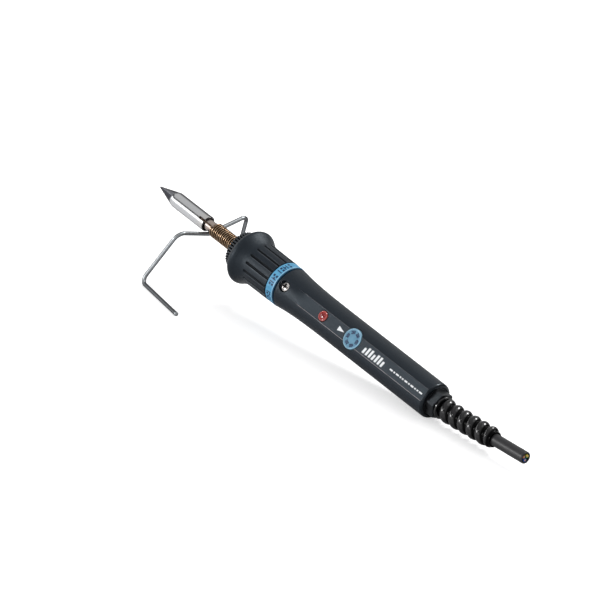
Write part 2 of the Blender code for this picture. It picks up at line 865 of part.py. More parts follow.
def make_wire_rest():
    path = filleted([in_row(corner) for corner in REST_CORNERS], REST_BEND_RADII)
    curve = wire("wire_rest", path, REST_WIRE_R, resolution=3, parent=None)
    rest = as_mesh(curve, "zinc_wire")
    # the feet stand on the table on a narrow worn flat
    table = cube_mesh("table_trim", size=(300.0, 300.0, 20.0), centre=(0.0, 0.0, -10.0))
    boolean(rest, place("table_trim", table, None, parent=None))


# ------------------------------------------------------------------ assembly
make_tip()
make_heater()
make_spring()
make_ring_nut()
make_front_collar()
make_marker_ring()
make_handle()
make_fixing_screw()
make_lens()
make_dial()
make_electronics()
make_leads()
make_clamped_end()
make_bend_protector()
make_cord()
make_wire_rest()

for obj in parts.objects:
    if obj.type == "MESH" and obj.data.polygons:
        obj.data.shade_smooth()
        obj.data.set_sharp_from_angle(angle=math.radians(35.0))
bpy.context.view_layer.update()
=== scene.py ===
# A temperature-adjustable soldering iron lying on a bent-wire rest.
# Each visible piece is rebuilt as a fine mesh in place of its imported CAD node. Lengths are
# millimetres in the iron's own tool frame unless said otherwise: x runs back along the iron
# from just behind the tip's point, z is the way the dial faces, y is across. The tool frame
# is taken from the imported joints. The row frame is the scene's own, in metres with +Z up.
import json
import math

import bmesh
import bpy
import numpy as np
from mathutils import Matrix, Vector


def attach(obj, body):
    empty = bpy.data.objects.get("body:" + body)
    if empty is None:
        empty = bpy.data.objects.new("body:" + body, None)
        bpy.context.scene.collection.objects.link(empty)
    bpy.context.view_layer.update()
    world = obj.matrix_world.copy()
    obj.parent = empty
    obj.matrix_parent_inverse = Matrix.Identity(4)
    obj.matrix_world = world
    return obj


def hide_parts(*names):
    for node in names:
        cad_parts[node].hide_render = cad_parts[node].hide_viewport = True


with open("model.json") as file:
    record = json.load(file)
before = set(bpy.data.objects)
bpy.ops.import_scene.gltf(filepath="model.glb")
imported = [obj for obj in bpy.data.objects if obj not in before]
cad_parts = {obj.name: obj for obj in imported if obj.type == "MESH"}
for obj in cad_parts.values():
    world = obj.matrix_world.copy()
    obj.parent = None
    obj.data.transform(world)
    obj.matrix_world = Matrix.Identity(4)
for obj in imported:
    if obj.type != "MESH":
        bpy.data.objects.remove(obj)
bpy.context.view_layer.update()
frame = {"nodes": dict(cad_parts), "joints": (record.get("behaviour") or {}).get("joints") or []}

DEG = math.pi / 180.0
TAU = 2.0 * math.pi
MM = 0.001

# ------------------------------------------------------------------ tool frame
JOINT = {joint["name"]: joint for joint in frame["joints"]}
RING_NUT_X = 0.068  # metres from the tool origin to the ring nut's joint


def joint_axis(name):
    axis = np.array(JOINT[name]["axis"], float)
    return axis / np.linalg.norm(axis)


ALONG = joint_axis("ring_nut_turn")
FACING = joint_axis("dial_turn")
ACROSS = np.cross(FACING, ALONG)
ORIGIN = np.array(JOINT["ring_nut_turn"]["pos_m"], float) - ALONG * RING_NUT_X


def to_world(x, y, z):
    """Tool millimetres (numbers or arrays) to row-frame metres, one point a row."""
    x, y, z = np.broadcast_arrays(*(np.asarray(v, float) for v in (x, y, z)))
    offset = x[..., None] * ALONG + y[..., None] * ACROSS + z[..., None] * FACING
    return (ORIGIN + MM * offset).reshape(-1, 3)


def tool_points(cad_node):
    """A CAD node's vertices in tool millimetres."""
    mesh = frame["nodes"][cad_node].data
    flat = np.zeros(len(mesh.vertices) * 3)
    mesh.vertices.foreach_get("co", flat)
    offset = (flat.reshape(-1, 3) - ORIGIN) * 1000.0
    return np.stack([offset @ ALONG, offset @ ACROSS, offset @ FACING], 1)


def middle_x(cad_node):
    x = tool_points(cad_node)[:, 0]
    return 0.5 * (x.min() + x.max())


# ------------------------------------------------------------------ shared dimensions
LENS_X = middle_x("indicator_lens")
DIAL_X = middle_x("temperature_dial")
SCREW_X = middle_x("fixing_screw")

FLUTES = 16  # grooves round the front collar
MARKER_END = 107.3  # rear face of the blue ring
LIP_X = 223.0  # front of the smooth lip at the handle's rear end
STRIP_HALF = 3.3  # half width of the flat label strip
HANDLE_R = 9.75
STRIP_Z = math.sqrt(HANDLE_R**2 - STRIP_HALF**2)
LEG_ANGLE = 8.0 * DEG  # the spring's leg lies this far round from the dial direction

# the cord's centre line bends from the tool axis up to level between these two stations
BEND_START, BEND_END = 228.5, 241.5
INCLINE = math.asin(-ALONG[2])
RISE = math.tan(INCLINE)
LEVEL_UP = np.array([0.0, 0.0, 1.0]) - ALONG * ALONG[2]
LEVEL_UP /= np.linalg.norm(LEVEL_UP)
UP_Y, UP_Z = float(LEVEL_UP @ ACROSS), float(LEVEL_UP @ FACING)


# ------------------------------------------------------------------ shader fields
def maths(operation, a, b=0.0):
    tree = a.tree if isinstance(a, Field) else b.tree
    return field(tree, "ShaderNodeMath", {0: a, 1: b}, operation=operation)


def binary(operation, swapped=False):
    def method(self, other):
        return maths(operation, other, self) if swapped else maths(operation, self, other)

    return method


class Field:
    """An output socket; arithmetic on it adds Math nodes, and comparisons give 0 or 1."""

    def __init__(self, tree, socket):
        self.tree, self.socket = tree, socket

    __add__, __radd__ = binary("ADD"), binary("ADD", swapped=True)
    __sub__, __rsub__ = binary("SUBTRACT"), binary("SUBTRACT", swapped=True)
    __mul__, __truediv__, __pow__ = binary("MULTIPLY"), binary("DIVIDE"), binary("POWER")
    __lt__, __gt__ = binary("LESS_THAN"), binary("GREATER_THAN")

    def __abs__(self):
        return maths("ABSOLUTE", self)


def plug(socket, value):
    """Link a field into an input, or set the input's own value."""
    if isinstance(value, Field):
        value.tree.links.new(value.socket, socket)
    else:
        socket.default_value = value


def node(tree, kind, inputs=None, **settings):
    new = tree.nodes.new(kind)
    for key, value in settings.items():
        setattr(new, key, value)
    for key, value in (inputs or {}).items():
        plug(new.inputs[key], value)
    return new


def field(tree, kind, inputs=None, output=0, **settings):
    return Field(tree, node(tree, kind, inputs, **settings).outputs[output])


def mix(amount, a, b):
    """Colour a turning into colour b; either may be three numbers."""
    tree = next(v.tree for v in (amount, a, b) if isinstance(v, Field))
    a, b = (v if isinstance(v, Field) else (*v, 1.0) for v in (a, b))
    return field(tree, "ShaderNodeMix", {0: amount, 6: a, 7: b}, output=2, data_type="RGBA")


def blend(amount, a, b):
    """Number a turning into number b."""
    return field(amount.tree, "ShaderNodeMix", {0: amount, 2: a, 3: b}, data_type="FLOAT")


def ramp(value, over, to=(0.0, 1.0), smooth=True):
    """The value's span `over` mapped to the span `to`."""
    return field(
        value.tree,
        "ShaderNodeMapRange",
        {0: value, 1: over[0], 2: over[1], 3: to[0], 4: to[1]},
        interpolation_type="SMOOTHSTEP" if smooth else "LINEAR",
    )


FALL = (1.0, 0.0)


def vector_maths(operation, a, b, output=0):
    return field(a.tree, "ShaderNodeVectorMath", {0: a, 1: b}, output, operation=operation)


def noise(point, scale, detail=3.0, rough=0.55, stretch=None):
    if stretch is not None:
        point = vector_maths("MULTIPLY", point, stretch)
    inputs = {"Vector": point, "Scale": scale, "Detail": detail, "Roughness": rough}
    return field(point.tree, "ShaderNodeTexNoise", inputs)


def times(colour, factor):
    return [c * factor for c in colour]


def tool_space_group():
    """Shader group: the point being shaded, at rest, in tool millimetres."""
    tree = bpy.data.node_groups.new("tool_space", "ShaderNodeTree")
    at_rest = field(tree, "ShaderNodeTexCoord", output="Object")
    offset = vector_maths("SUBTRACT", at_rest, tuple(ORIGIN))
    x, y, z = (
        vector_maths("DOT_PRODUCT", offset, tuple(axis * 1000.0), output="Value")
        for axis in (ALONG, ACROSS, FACING)
    )
    point = field(tree, "ShaderNodeCombineXYZ", {0: x, 1: y, 2: z})
    radius = maths("SQRT", y * y + z * z)
    angle = maths("ARCTAN2", y, z)
    # Wrap holds the angle's sine and cosine, so streaks run along the axis without a seam
    unit_y, unit_z = (v / maths("MAXIMUM", radius, 0.01) for v in (y, z))
    wrap = field(tree, "ShaderNodeCombineXYZ", {0: x, 1: unit_y, 2: unit_z})
    outlet = tree.nodes.new("NodeGroupOutput")
    for name, kind, value in (
        ("Vector", "Vector", point),
        ("X", "Float", x),
        ("Y", "Float", y),
        ("Z", "Float", z),
        ("Radius", "Float", radius),
        ("Angle", "Float", angle),
        ("Wrap", "Vector", wrap),
    ):
        tree.interface.new_socket(name=name, in_out="OUTPUT", socket_type="NodeSocket" + kind)
        plug(outlet.inputs[name], value)
    return tree


TOOL_SPACE = tool_space_group()


class Material:
    """A procedural material on a Principled shader, with the tool space's fields at hand."""

    def __init__(self, name, tool_space=True):
        self.data = bpy.data.materials.new(name)
        self.data.use_nodes = True
        self.tree = self.data.node_tree
        self.shader = self.tree.nodes["Principled BSDF"]
        if tool_space:
            outputs = node(self.tree, "ShaderNodeGroup", node_tree=TOOL_SPACE).outputs
            self.point, self.x, self.y, self.z, self.radius, self.wrap = (
                Field(self.tree, outputs[key]) for key in ("Vector", "X", "Y", "Z", "Radius", "Wrap")
            )

    def set(self, **values):
        """Shader inputs by name, with _ for each space; three numbers make a colour."""
        for key, value in values.items():
            key = key.replace("_", " ")
            if key.endswith(("Color", "Tint")) and not isinstance(value, Field):
                value = (*value, 1.0)
            plug(self.shader.inputs[key], value)
        return self.data

    def bump(self, height, relief, strength):
        """Relief is in millimetres for a height of one."""
        inputs = {"Height": height, "Distance": MM * relief, "Strength": strength}
        plug(self.shader.inputs["Normal"], field(self.tree, "ShaderNodeBump", inputs))

    def turned(self, over, to=(0.0, 1.0)):
        """Grows where the surface turns away from the eye."""
        facing = field(self.tree, "ShaderNodeLayerWeight", {"Blend": 0.5}, output="Facing")
        return ramp(facing, over, to)

    def outline(self, colour, over=(0.5, 0.85), strength=0.75):
        """The colour with a painted shade along its outline, darkened where the surface turns away
        from the eye.
        """
        return mix(self.turned(over, to=(0.0, strength)), colour, (0.03, 0.03, 0.035))

    def edges(self, width, over):
        """0 on open faces, 1 on edges, from a normal rounded over the width."""
        bevel = field(self.tree, "ShaderNodeBevel", {"Radius": width * MM}, samples=6)
        normal = field(self.tree, "ShaderNodeNewGeometry", output="Normal")
        return ramp(1.0 - vector_maths("DOT_PRODUCT", bevel, normal, output="Value"), over)

    def from_centre(self, x):
        """Distance in the x-y plane from the upright line at tool x."""
        return maths("SQRT", (self.x - x) ** 2.0 + self.y**2.0)


# ------------------------------------------------------------------ black nylon
def groove_shade_and_highlight(m, scuff):
    """Painted shade in the groove bottoms on the front collar, and a painted highlight along one rim
    of each groove.
    """
    # painted shade: the groove bottoms are darkened and made less shiny
    groove_floor_shade = ramp(m.radius, over=(11.42, 11.62), to=FALL) * (m.x > 83.2)
    groove_floor_shade = groove_floor_shade * (m.x < 101.0)
    m.colour = mix(groove_floor_shade, m.colour, (0.0022, 0.0028, 0.004))
    m.specular = blend(groove_floor_shade, m.specular, 0.12)
    # painted highlight: a pale line along one rim of each groove, broken up unevenly
    turn = maths("FRACT", maths("ARCTAN2", m.y, m.z) / (TAU / FLUTES))
    rim = ramp(abs(turn - 0.30), over=(0.022, 0.042), to=FALL)
    rim = rim * (m.radius > 11.6)
    rim = rim * (ramp(m.x, over=(84.0, 85.0)) * (m.x < 101.0))
    rim = rim * ramp(scuff, over=(0.25, 0.6), to=(0.5, 1.0))
    m.colour = mix(rim * 0.6, m.colour, (0.105, 0.115, 0.13))


def knurl_crests_and_shade(m, scuff):
    """Teeth paler along their crests, with painted shadow between them."""
    crest = ramp(m.radius, over=(10.2, 10.5)) * (m.x < 71.0)
    # painted shadow in the roots between the teeth
    root = ramp(m.radius, over=(9.8, 10.15), to=FALL) * (m.radius > 9.4)
    m.colour = mix(crest, m.colour, (0.030, 0.033, 0.038))
    m.colour = mix(root, m.colour, (0.0010, 0.0011, 0.0013))
    m.specular = blend(root, m.specular, 0.06)


def handle_strip_and_bead_highlight(m, scuff):
    """A bluer label strip, a painted highlight along the beads beside it, and a smooth lip at the rear
    end.
    """
    strip = (abs(m.y) < 3.25) * ramp(m.x, over=(120.0, 128.0)) * (m.z > 9.1)
    m.colour = mix(strip * 0.8, m.colour, (0.0095, 0.0155, 0.0225))
    # painted highlight along the beads at the strip's edges, broken up unevenly
    off_crest = abs(abs(m.y) - 3.45)
    length = ramp(m.x, over=(123.5, 126.5)) * (m.z > 8.85)
    bead = ramp(off_crest, over=(0.05, 0.16), to=FALL) * length
    bead = bead * (m.x < 222.8)
    worn = bead * ramp(scuff, over=(0.25, 0.6), to=(0.55, 1.0))
    side = blend(m.y < 0.0, 0.11, 0.9)  # painted highlight: strong on the bead at negative y, faint on the other
    m.colour = mix(worn * side, m.colour, (0.40, 0.37, 0.385))
    lip = ramp(m.x, over=(LIP_X - 0.15, LIP_X + 0.15))
    m.colour = mix(lip, m.colour, times(BLACK, 0.55))
    m.rough = blend(lip, m.rough, 0.2)
    m.relief = blend(lip, 1.0, 0.08)


BLACK = (0.0050, 0.0078, 0.0120)


def black_plastic(name, base=BLACK, rough=0.43, grain=0.012, specular=0.36, details_and_painted_light=None):
    """Moulded nylon: fine even grain, faint mottling, edges rubbed paler and shinier."""
    m = Material(name)
    wide = noise(m.point, scale=0.16)
    fine = noise(m.point, scale=3.6, detail=2.0, rough=0.6)
    cells = {"Vector": m.point, "Scale": 4.2}
    speck = field(m.tree, "ShaderNodeTexVoronoi", cells, output="Distance", feature="F1")
    scuff = noise(m.point, scale=0.9, detail=4.0, rough=0.7, stretch=(0.25, 1.0, 1.0))
    m.colour = mix(wide, times(base, 0.78), times(base, 1.3))
    m.colour = mix(ramp(fine, over=(0.45, 0.75)), m.colour, times(base, 1.7))
    edge = m.edges(width=0.22, over=(0.004, 0.10))
    edge = edge * ramp(scuff, over=(0.3, 0.62), to=(0.35, 1.0))
    m.colour = mix(edge * 0.6, m.colour, (0.075, 0.082, 0.092))
    m.rough = blend(ramp(scuff, over=(0.35, 0.7)), rough + 0.05, rough - 0.07)
    m.rough = m.rough - edge * 0.12
    m.specular = specular
    m.relief = 1.0
    height = fine + speck * 0.9
    # the passed function may add painted shade and painted highlights as well as surface details
    if details_and_painted_light:
        details_and_painted_light(m, scuff)
    m.bump(height * m.relief, relief=grain * 4.0, strength=0.85)
    return m.set(
        Base_Color=m.colour,
        Roughness=m.rough,
        Specular_IOR_Level=m.specular,
        Specular_Tint=(0.80, 0.91, 1.0),
    )


# ------------------------------------------------------------------ metals
def plated_tip():
    """Chromium-plated sleeve turning into a tinned, heat-darkened cone."""
    m = Material("plated_tip")
    wander = noise(m.point, scale=0.55)
    x = m.x + (wander - 0.5) * 2.2
    cone = ramp(x, over=(10.9, 12.6), to=FALL)
    blot = noise(m.point, scale=1.3, detail=4.0, rough=0.65)
    lines = noise(m.wrap, scale=26.0, detail=2.0, rough=0.5, stretch=(0.02, 1.0, 1.0))
    scratch = noise(m.point, scale=3.0, rough=0.6, stretch=(0.5, 6.0, 6.0))
    sleeve = mix(blot, (0.66, 0.67, 0.69), (0.80, 0.81, 0.82))
    # a straw-coloured heat tint grows towards the rear rim
    sleeve = mix(ramp(x, over=(31.0, 39.5), to=(0.0, 0.28)), sleeve, (0.78, 0.70, 0.60))
    dark = mix(blot, (0.075, 0.08, 0.105), (0.19, 0.19, 0.22))
    # painted reflection: the cone is painted bright on its +y flank and dark on the other
    across = m.y / maths("MAXIMUM", m.radius, 0.3)
    flank = across + (wander - 0.5) * 0.4
    shaded_flank = mix(0.82, dark, (0.018, 0.018, 0.024))
    lit_flank = mix(0.85, dark, (0.52, 0.53, 0.57))
    dark = mix(ramp(flank, over=(0.08, 0.30)), shaded_flank, lit_flank)
    dark = mix(ramp(x, over=(-0.9, 2.2), to=(0.75, 0.0)), dark, (0.07, 0.07, 0.08))
    # painted shade along the tip's outline, where the surface turns away
    colour = m.outline(mix(cone, sleeve, dark))
    # painted shade: the +y flank of the plating is darkened where it turns away
    away = m.turned(over=(0.42, 0.62)) * ramp(across, over=(0.3, 0.6), to=(0.0, 0.88))
    colour = mix(away, colour, (0.03, 0.03, 0.036))
    # painted shade darkens the cut rear rim and the bore
    bore_shade = ramp(m.radius, over=(3.5, 3.8), to=FALL) * (m.x > 20.0)
    rim = maths("MAXIMUM", ramp(m.x, over=(39.1, 39.3)), bore_shade)
    colour = mix(rim * 0.92, colour, (0.035, 0.032, 0.033))
    rough = blend(cone, blend(blot, 0.13, 0.21), blend(blot, 0.24, 0.4))
    rough = rough + ramp(scratch, over=(0.55, 0.8)) * 0.14
    m.bump(lines * 0.5 + blot * cone * 1.6, relief=0.012, strength=0.6)
    return m.set(Base_Color=colour, Metallic=1.0, Roughness=rough)


def heated_steel():
    m = Material("heated_steel")
    blot = noise(m.point, scale=0.8, detail=4.0, rough=0.6)
    x = m.x + (blot - 0.5) * 5.0
    # heat colours along the tube, pale then straw, then a dark brown under the spring that is painted
    # shade between its turns, then heat grey
    colour = mix(ramp(x, over=(38.0, 45.0)), (0.56, 0.50, 0.475), (0.50, 0.41, 0.36))
    colour = mix(ramp(x, over=(44.5, 46.5)), colour, (0.10, 0.065, 0.045))
    colour = mix(ramp(x, over=(62.0, 68.0)), colour, (0.30, 0.27, 0.27))
    scratch = noise(m.point, scale=2.0, rough=0.6, stretch=(0.3, 5.0, 5.0))
    rough = blend(scratch, 0.2, 0.42)
    m.bump(scratch + blot, relief=0.01, strength=0.5)
    # the outline is darkened by painted shade where the tube turns away
    return m.set(Base_Color=m.outline(colour), Metallic=1.0, Roughness=rough)


def bronze_wire():
    m = Material("bronze_wire")
    blot = noise(m.point, scale=0.55, detail=4.0, rough=0.6)
    colour = mix(ramp(blot, over=(0.35, 0.65)), (0.20, 0.115, 0.062), (0.47, 0.33, 0.215))
    # painted shade darkens the wire between the turns; the outer crests keep the metal's own colour
    crest = ramp(m.radius, over=(3.93, 4.2))
    colour = mix(crest, (0.03, 0.016, 0.009), colour)
    # the straight leg is darker brown
    leg = ramp(m.x, over=(43.5, 46.0), to=(0.88, 0.0))
    colour = mix(leg, colour, (0.05, 0.036, 0.029))
    fine = noise(m.point, scale=5.0)
    m.bump(fine, relief=0.01, strength=0.5)
    return m.set(Base_Color=colour, Metallic=1.0, Roughness=blend(fine, 0.17, 0.32))


def nickel():
    m = Material("nickel_plate")
    blot = noise(m.point, scale=1.5, detail=4.0)
    colour = mix(blot, (0.66, 0.61, 0.58), (0.86, 0.83, 0.80))
    rings = {"Vector": m.point, "Scale": 3.0, "Distortion": 2.0, "Detail": 2.0}
    turning = field(m.tree, "ShaderNodeTexWave", rings, output=1, wave_type="RINGS")
    m.bump(turning, relief=0.006, strength=0.5)
    # painted shade in the cross recess of the fixing screw's head
    low = ramp(m.z, over=(10.12, 10.34), to=FALL)
    here = (abs(m.x - SCREW_X) < 1.9) * (abs(m.y) < 1.9)
    recess_shade = low * here * ramp(m.from_centre(SCREW_X), over=(1.95, 2.1), to=FALL)
    colour = mix(recess_shade, colour, (0.02, 0.017, 0.015))
    # painted shade along the outline
    colour = m.outline(colour, over=(0.45, 0.8), strength=0.6)
    return m.set(Base_Color=colour, Metallic=1.0, Roughness=blend(blot, 0.14, 0.27))


def zinc_wire():
    m = Material("zinc_wire", tool_space=False)
    point = field(m.tree, "ShaderNodeTexCoord", output="Object")  # metres
    cells = {"Vector": point, "Scale": 900.0}
    spangle = field(m.tree, "ShaderNodeTexVoronoi", cells, output="Color", feature="F1")
    spangle = field(m.tree, "ShaderNodeSeparateColor", {0: spangle})
    blot = noise(point, scale=140.0, detail=4.0, rough=0.6)
    drawn = noise(point, scale=1500.0, rough=0.6)
    colour = mix(blot, (0.305, 0.325, 0.34), (0.45, 0.475, 0.49))
    colour = mix(spangle * 0.25, colour, (0.25, 0.26, 0.26))
    # painted shade along the outline of the wire
    colour = m.outline(colour, over=(0.17, 0.53), strength=0.85)
    m.bump(drawn + spangle * 0.4, relief=0.02, strength=0.6)
    return m.set(Base_Color=colour, Metallic=0.92, Roughness=blend(blot, 0.3, 0.46))


# ------------------------------------------------------------------ coloured plastics and rubber
PALE_BLUE = (0.42, 0.62, 0.74)


def blue_plastic(name, low, high, rough=0.38, hub=None, rear=None):
    """Hub is a dial's centre x with a worn rim round it; rear is the x of a rear edge with a pale line
    and painted shadow behind it.
    """
    m = Material(name)
    wide = noise(m.point, scale=0.3)
    fine = noise(m.point, scale=4.0, detail=2.0)
    colour = mix(ramp(wide, over=(0.3, 0.7)), low, high)
    if hub is not None:
        # the raised rim of the dial is rubbed paler than its face
        rim = ramp(m.from_centre(hub), over=(4.5, 4.85))
        colour = mix(rim, mix(0.22, colour, times(low, 0.4)), mix(0.35, colour, PALE_BLUE))
    if rear is not None:
        # a pale line along the rear edge, with painted shadow in the joint behind it
        line = ramp(abs(m.x - (rear - 0.75)), over=(0.16, 0.34), to=(0.45, 0.0))
        colour = mix(line, colour, (0.42, 0.66, 0.80))
        shadow = ramp(m.x, over=(rear - 0.5, rear - 0.3), to=(0.0, 0.85))
        colour = mix(shadow, colour, (0.006, 0.03, 0.075))
    colour = mix(m.edges(width=0.3, over=(0.01, 0.16)) * 0.55, colour, PALE_BLUE)
    grime = noise(m.point, scale=1.1, detail=4.0, rough=0.7)
    colour = mix(ramp(grime, over=(0.55, 0.8), to=(0.0, 0.35)), colour, times(low, 0.45))
    m.bump(fine, relief=0.018, strength=0.7)
    rough = blend(grime, rough - 0.06, rough + 0.12)
    return m.set(Base_Color=colour, Roughness=rough, Specular_IOR_Level=0.4)


def red_glass():
    m = Material("red_lens")
    out = m.from_centre(LENS_X)
    swirl = noise(m.point, scale=0.9, detail=2.0)
    colour = mix(ramp(out, over=(0.7, 1.9)), (0.15, 0.005, 0.007), (0.33, 0.016, 0.016))
    colour = mix(ramp(out, over=(1.95, 2.35)), colour, (0.50, 0.11, 0.095))
    colour = mix(swirl * 0.25, colour, (0.45, 0.02, 0.02))
    m.bump(swirl, relief=0.02, strength=0.4)
    return m.set(
        Base_Color=colour,
        Roughness=blend(swirl, 0.12, 0.2),
        Subsurface_Weight=0.12,
        Subsurface_Radius=(0.001, 0.0002, 0.0001),
        Coat_Weight=0.6,
        Coat_Roughness=0.06,
    )


def cord_radius(m):
    """Distance from the bent centre line of the cord."""
    run = maths("MINIMUM", maths("MAXIMUM", m.x - BEND_START, 0.0), BEND_END - BEND_START)
    lift = run * run * (RISE / (2 * (BEND_END - BEND_START)))
    lift = lift + maths("MAXIMUM", m.x - BEND_END, 0.0) * RISE
    y = m.y - lift * UP_Y
    z = m.z - lift * UP_Z
    return maths("SQRT", y * y + z * z)


def rubber(name, base, rough, coat, valleys=False):
    m = Material(name)
    blot = noise(m.point, scale=0.6, detail=4.0, rough=0.6)
    fine = noise(m.point, scale=5.0)
    dust = noise(m.point, scale=1.7, detail=4.0, rough=0.7)
    dust = ramp(dust, over=(0.55, 0.8), to=(0.0, 0.3))
    colour = mix(dust, mix(blot, base, times(base, 2.2)), (0.022, 0.019, 0.022))
    if valleys:
        # the valleys between the ridges hold shadow
        low = ramp(cord_radius(m), over=(4.75, 5.35), to=FALL) * (m.x > 231.0)
        colour = mix(low, colour, (0.0006, 0.0006, 0.0008))
        coat = blend(low, coat, 0.0)
        m.set(Specular_IOR_Level=blend(low, 0.3, 0.05))
    m.bump(fine + blot, relief=0.02, strength=0.5)
    rough = blend(blot, rough - 0.04, rough + 0.12)
    return m.set(Base_Color=colour, Roughness=rough, Coat_Weight=coat, Coat_Roughness=0.1)


# ------------------------------------------------------------------ inks and inside stuffs
def ink(name, colour, worn):
    """Printed ink: slightly uneven, thinned where it is rubbed."""
    m = Material(name)
    uneven = noise(m.point, scale=2.4, detail=4.0, rough=0.7)
    m.bump(uneven, relief=0.01, strength=0.5)
    colour = mix(ramp(uneven, over=(0.58, 0.8), to=(0.0, 0.5)), colour, worn)
    rough = blend(uneven, 0.4, 0.58)
    return m.set(Base_Color=colour, Roughness=rough, Specular_IOR_Level=0.35)


def simple(name, low, high, rough, scale=1.2, metallic=0.0, relief=0.03):
    """Two-tone mottled stuff with a small relief."""
    m = Material(name)
    blot = noise(m.point, scale=scale, detail=4.0, rough=0.6)
    fine = noise(m.point, scale=scale * 6.0)
    m.bump(blot + fine, relief=relief, strength=0.6)
    colour = mix(ramp(blot, over=(0.3, 0.7)), low, high)
    return m.set(Base_Color=colour, Metallic=metallic, Roughness=blend(fine, *rough))


def laminate():
    """Green glass laminate with a woven ground and tinned tracks."""
    m = Material("board_laminate")
    threads = {"Vector": m.point, "Scale": 1.6, "Distortion": 0.4}
    weave = field(m.tree, "ShaderNodeTexWave", threads, output=1)
    bricks = {
        "Vector": m.point,
        "Scale": 0.22,
        "Mortar Size": 0.06,
        "Color1": (0.02, 0.16, 0.06, 1),
        "Color2": (0.03, 0.2, 0.08, 1),
        "Mortar": (0.45, 0.42, 0.3, 1),
    }
    tracks = field(m.tree, "ShaderNodeTexBrick", bricks)
    m.bump(weave, relief=0.03, strength=0.5)
    return m.set(Base_Color=mix(weave * 0.3, tracks, (0.02, 0.12, 0.05)), Roughness=0.4)


def striped_core():
    """Green and yellow insulation of the earth conductor, in slanted stripes."""
    m = Material("core_green_yellow")
    split = node(m.tree, "ShaderNodeSeparateXYZ", {0: m.point}).outputs
    x, y = Field(m.tree, split[0]), Field(m.tree, split[1])
    wave = maths("SINE", x * 0.35 + y * 1.7)
    uneven = noise(m.point, scale=2.0)
    m.bump(uneven, relief=0.02, strength=0.5)
    colour = mix(ramp(wave, over=(-0.15, 0.15)), (0.03, 0.28, 0.06), (0.72, 0.62, 0.06))
    return m.set(Base_Color=colour, Roughness=blend(uneven, 0.35, 0.5))


NYLON = black_plastic("black_nylon", details_and_painted_light=groove_shade_and_highlight)
NYLON_HANDLE = black_plastic("black_nylon_handle", details_and_painted_light=handle_strip_and_bead_highlight)
NYLON_RING = black_plastic(
    "black_nylon_ring", base=(0.0045, 0.005, 0.006), rough=0.4, details_and_painted_light=knurl_crests_and_shade
)
NYLON_GLOSS = black_plastic(
    "black_nylon_bushing", base=(0.006, 0.0062, 0.007), rough=0.34, grain=0.008, specular=0.4
)
TIP_METAL = plated_tip()
STEEL = heated_steel()
BRONZE = bronze_wire()
BLUE_RING = blue_plastic(
    "blue_plastic_ring", low=(0.062, 0.265, 0.46), high=(0.115, 0.38, 0.60), rear=MARKER_END
)
BLUE_DIAL = blue_plastic(
    "blue_plastic_dial", low=(0.085, 0.25, 0.39), high=(0.13, 0.33, 0.48), rough=0.42, hub=DIAL_X
)
NICKEL = nickel()
ZINC = zinc_wire()
RED = red_glass()
RUBBER = rubber(
    "black_rubber", base=(0.0028, 0.0027, 0.0033), rough=0.15, coat=0.5, valleys=True
)
CORD = rubber("cord_rubber", base=(0.009, 0.009, 0.01), rough=0.42, coat=0.05)
WHITE_INK = ink("white_ink", colour=(0.80, 0.82, 0.84), worn=(0.42, 0.44, 0.46))
NAVY_INK = ink("navy_ink", colour=(0.004, 0.013, 0.062), worn=(0.014, 0.04, 0.12))
RING_INK = ink("ring_ink", colour=(0.006, 0.022, 0.075), worn=(0.02, 0.07, 0.16))
COPPER = simple(
    "copper_strands", (0.55, 0.24, 0.12), (0.85, 0.45, 0.25),
    rough=(0.2, 0.35), scale=2.0, metallic=1.0, relief=0.02,
)  # fmt: skip
BROWN = simple("core_brown", (0.12, 0.045, 0.02), (0.18, 0.07, 0.03), rough=(0.35, 0.5))
BLUE_CORE = simple("core_blue", (0.03, 0.10, 0.36), (0.05, 0.15, 0.48), rough=(0.35, 0.5))
GREEN_YELLOW = striped_core()
CERAMIC = simple("ceramic", (0.72, 0.69, 0.62), (0.86, 0.84, 0.80), rough=(0.45, 0.65), scale=0.9)
LAMINATE = laminate()
EPOXY = simple(
    "chip_black", (0.010, 0.010, 0.011), (0.03, 0.03, 0.032), rough=(0.35, 0.5), scale=1.5
)
TAN = simple("resistor_tan", (0.42, 0.32, 0.2), (0.6, 0.48, 0.33), rough=(0.4, 0.55))
CAP_BLUE = simple("capacitor_blue", (0.03, 0.08, 0.3), (0.06, 0.14, 0.45), rough=(0.2, 0.35))
SILICONE = simple("lead_silicone", (0.66, 0.64, 0.58), (0.82, 0.8, 0.74), rough=(0.5, 0.65))
TERMINAL = simple("terminal_nylon", (0.62, 0.62, 0.58), (0.78, 0.78, 0.74), rough=(0.4, 0.55))
LED_RED = simple("led_red", (0.45, 0.02, 0.015), (0.65, 0.05, 0.03), rough=(0.1, 0.2))


# ------------------------------------------------------------------ mesh objects
# A shape is a pair: points in row-frame metres, and faces.
def solid(name, shape, tidy=False):
    """An object from a shape: welded and facing out."""
    verts, faces = shape
    mesh = bpy.data.meshes.new(name)
    mesh.from_pydata([tuple(v) for v in verts], [], faces)
    bm = bmesh.new()
    bm.from_mesh(mesh)
    bmesh.ops.remove_doubles(bm, verts=bm.verts, dist=2e-7)
    if tidy:
        bmesh.ops.dissolve_degenerate(bm, edges=bm.edges, dist=1e-8)
    bmesh.ops.recalc_face_normals(bm, faces=bm.faces)
    bm.to_mesh(mesh)
    bm.free()
    obj = bpy.data.objects.new(name, mesh)
    bpy.context.scene.collection.objects.link(obj)
    return obj


def dress(obj, material, sharp):
    """One material, smooth shading, edges sharp beyond the angle in degrees."""
    obj.data.materials.clear()
    obj.data.materials.append(material)
    obj.data.shade_smooth()
    obj.data.set_sharp_from_angle(angle=sharp * DEG)


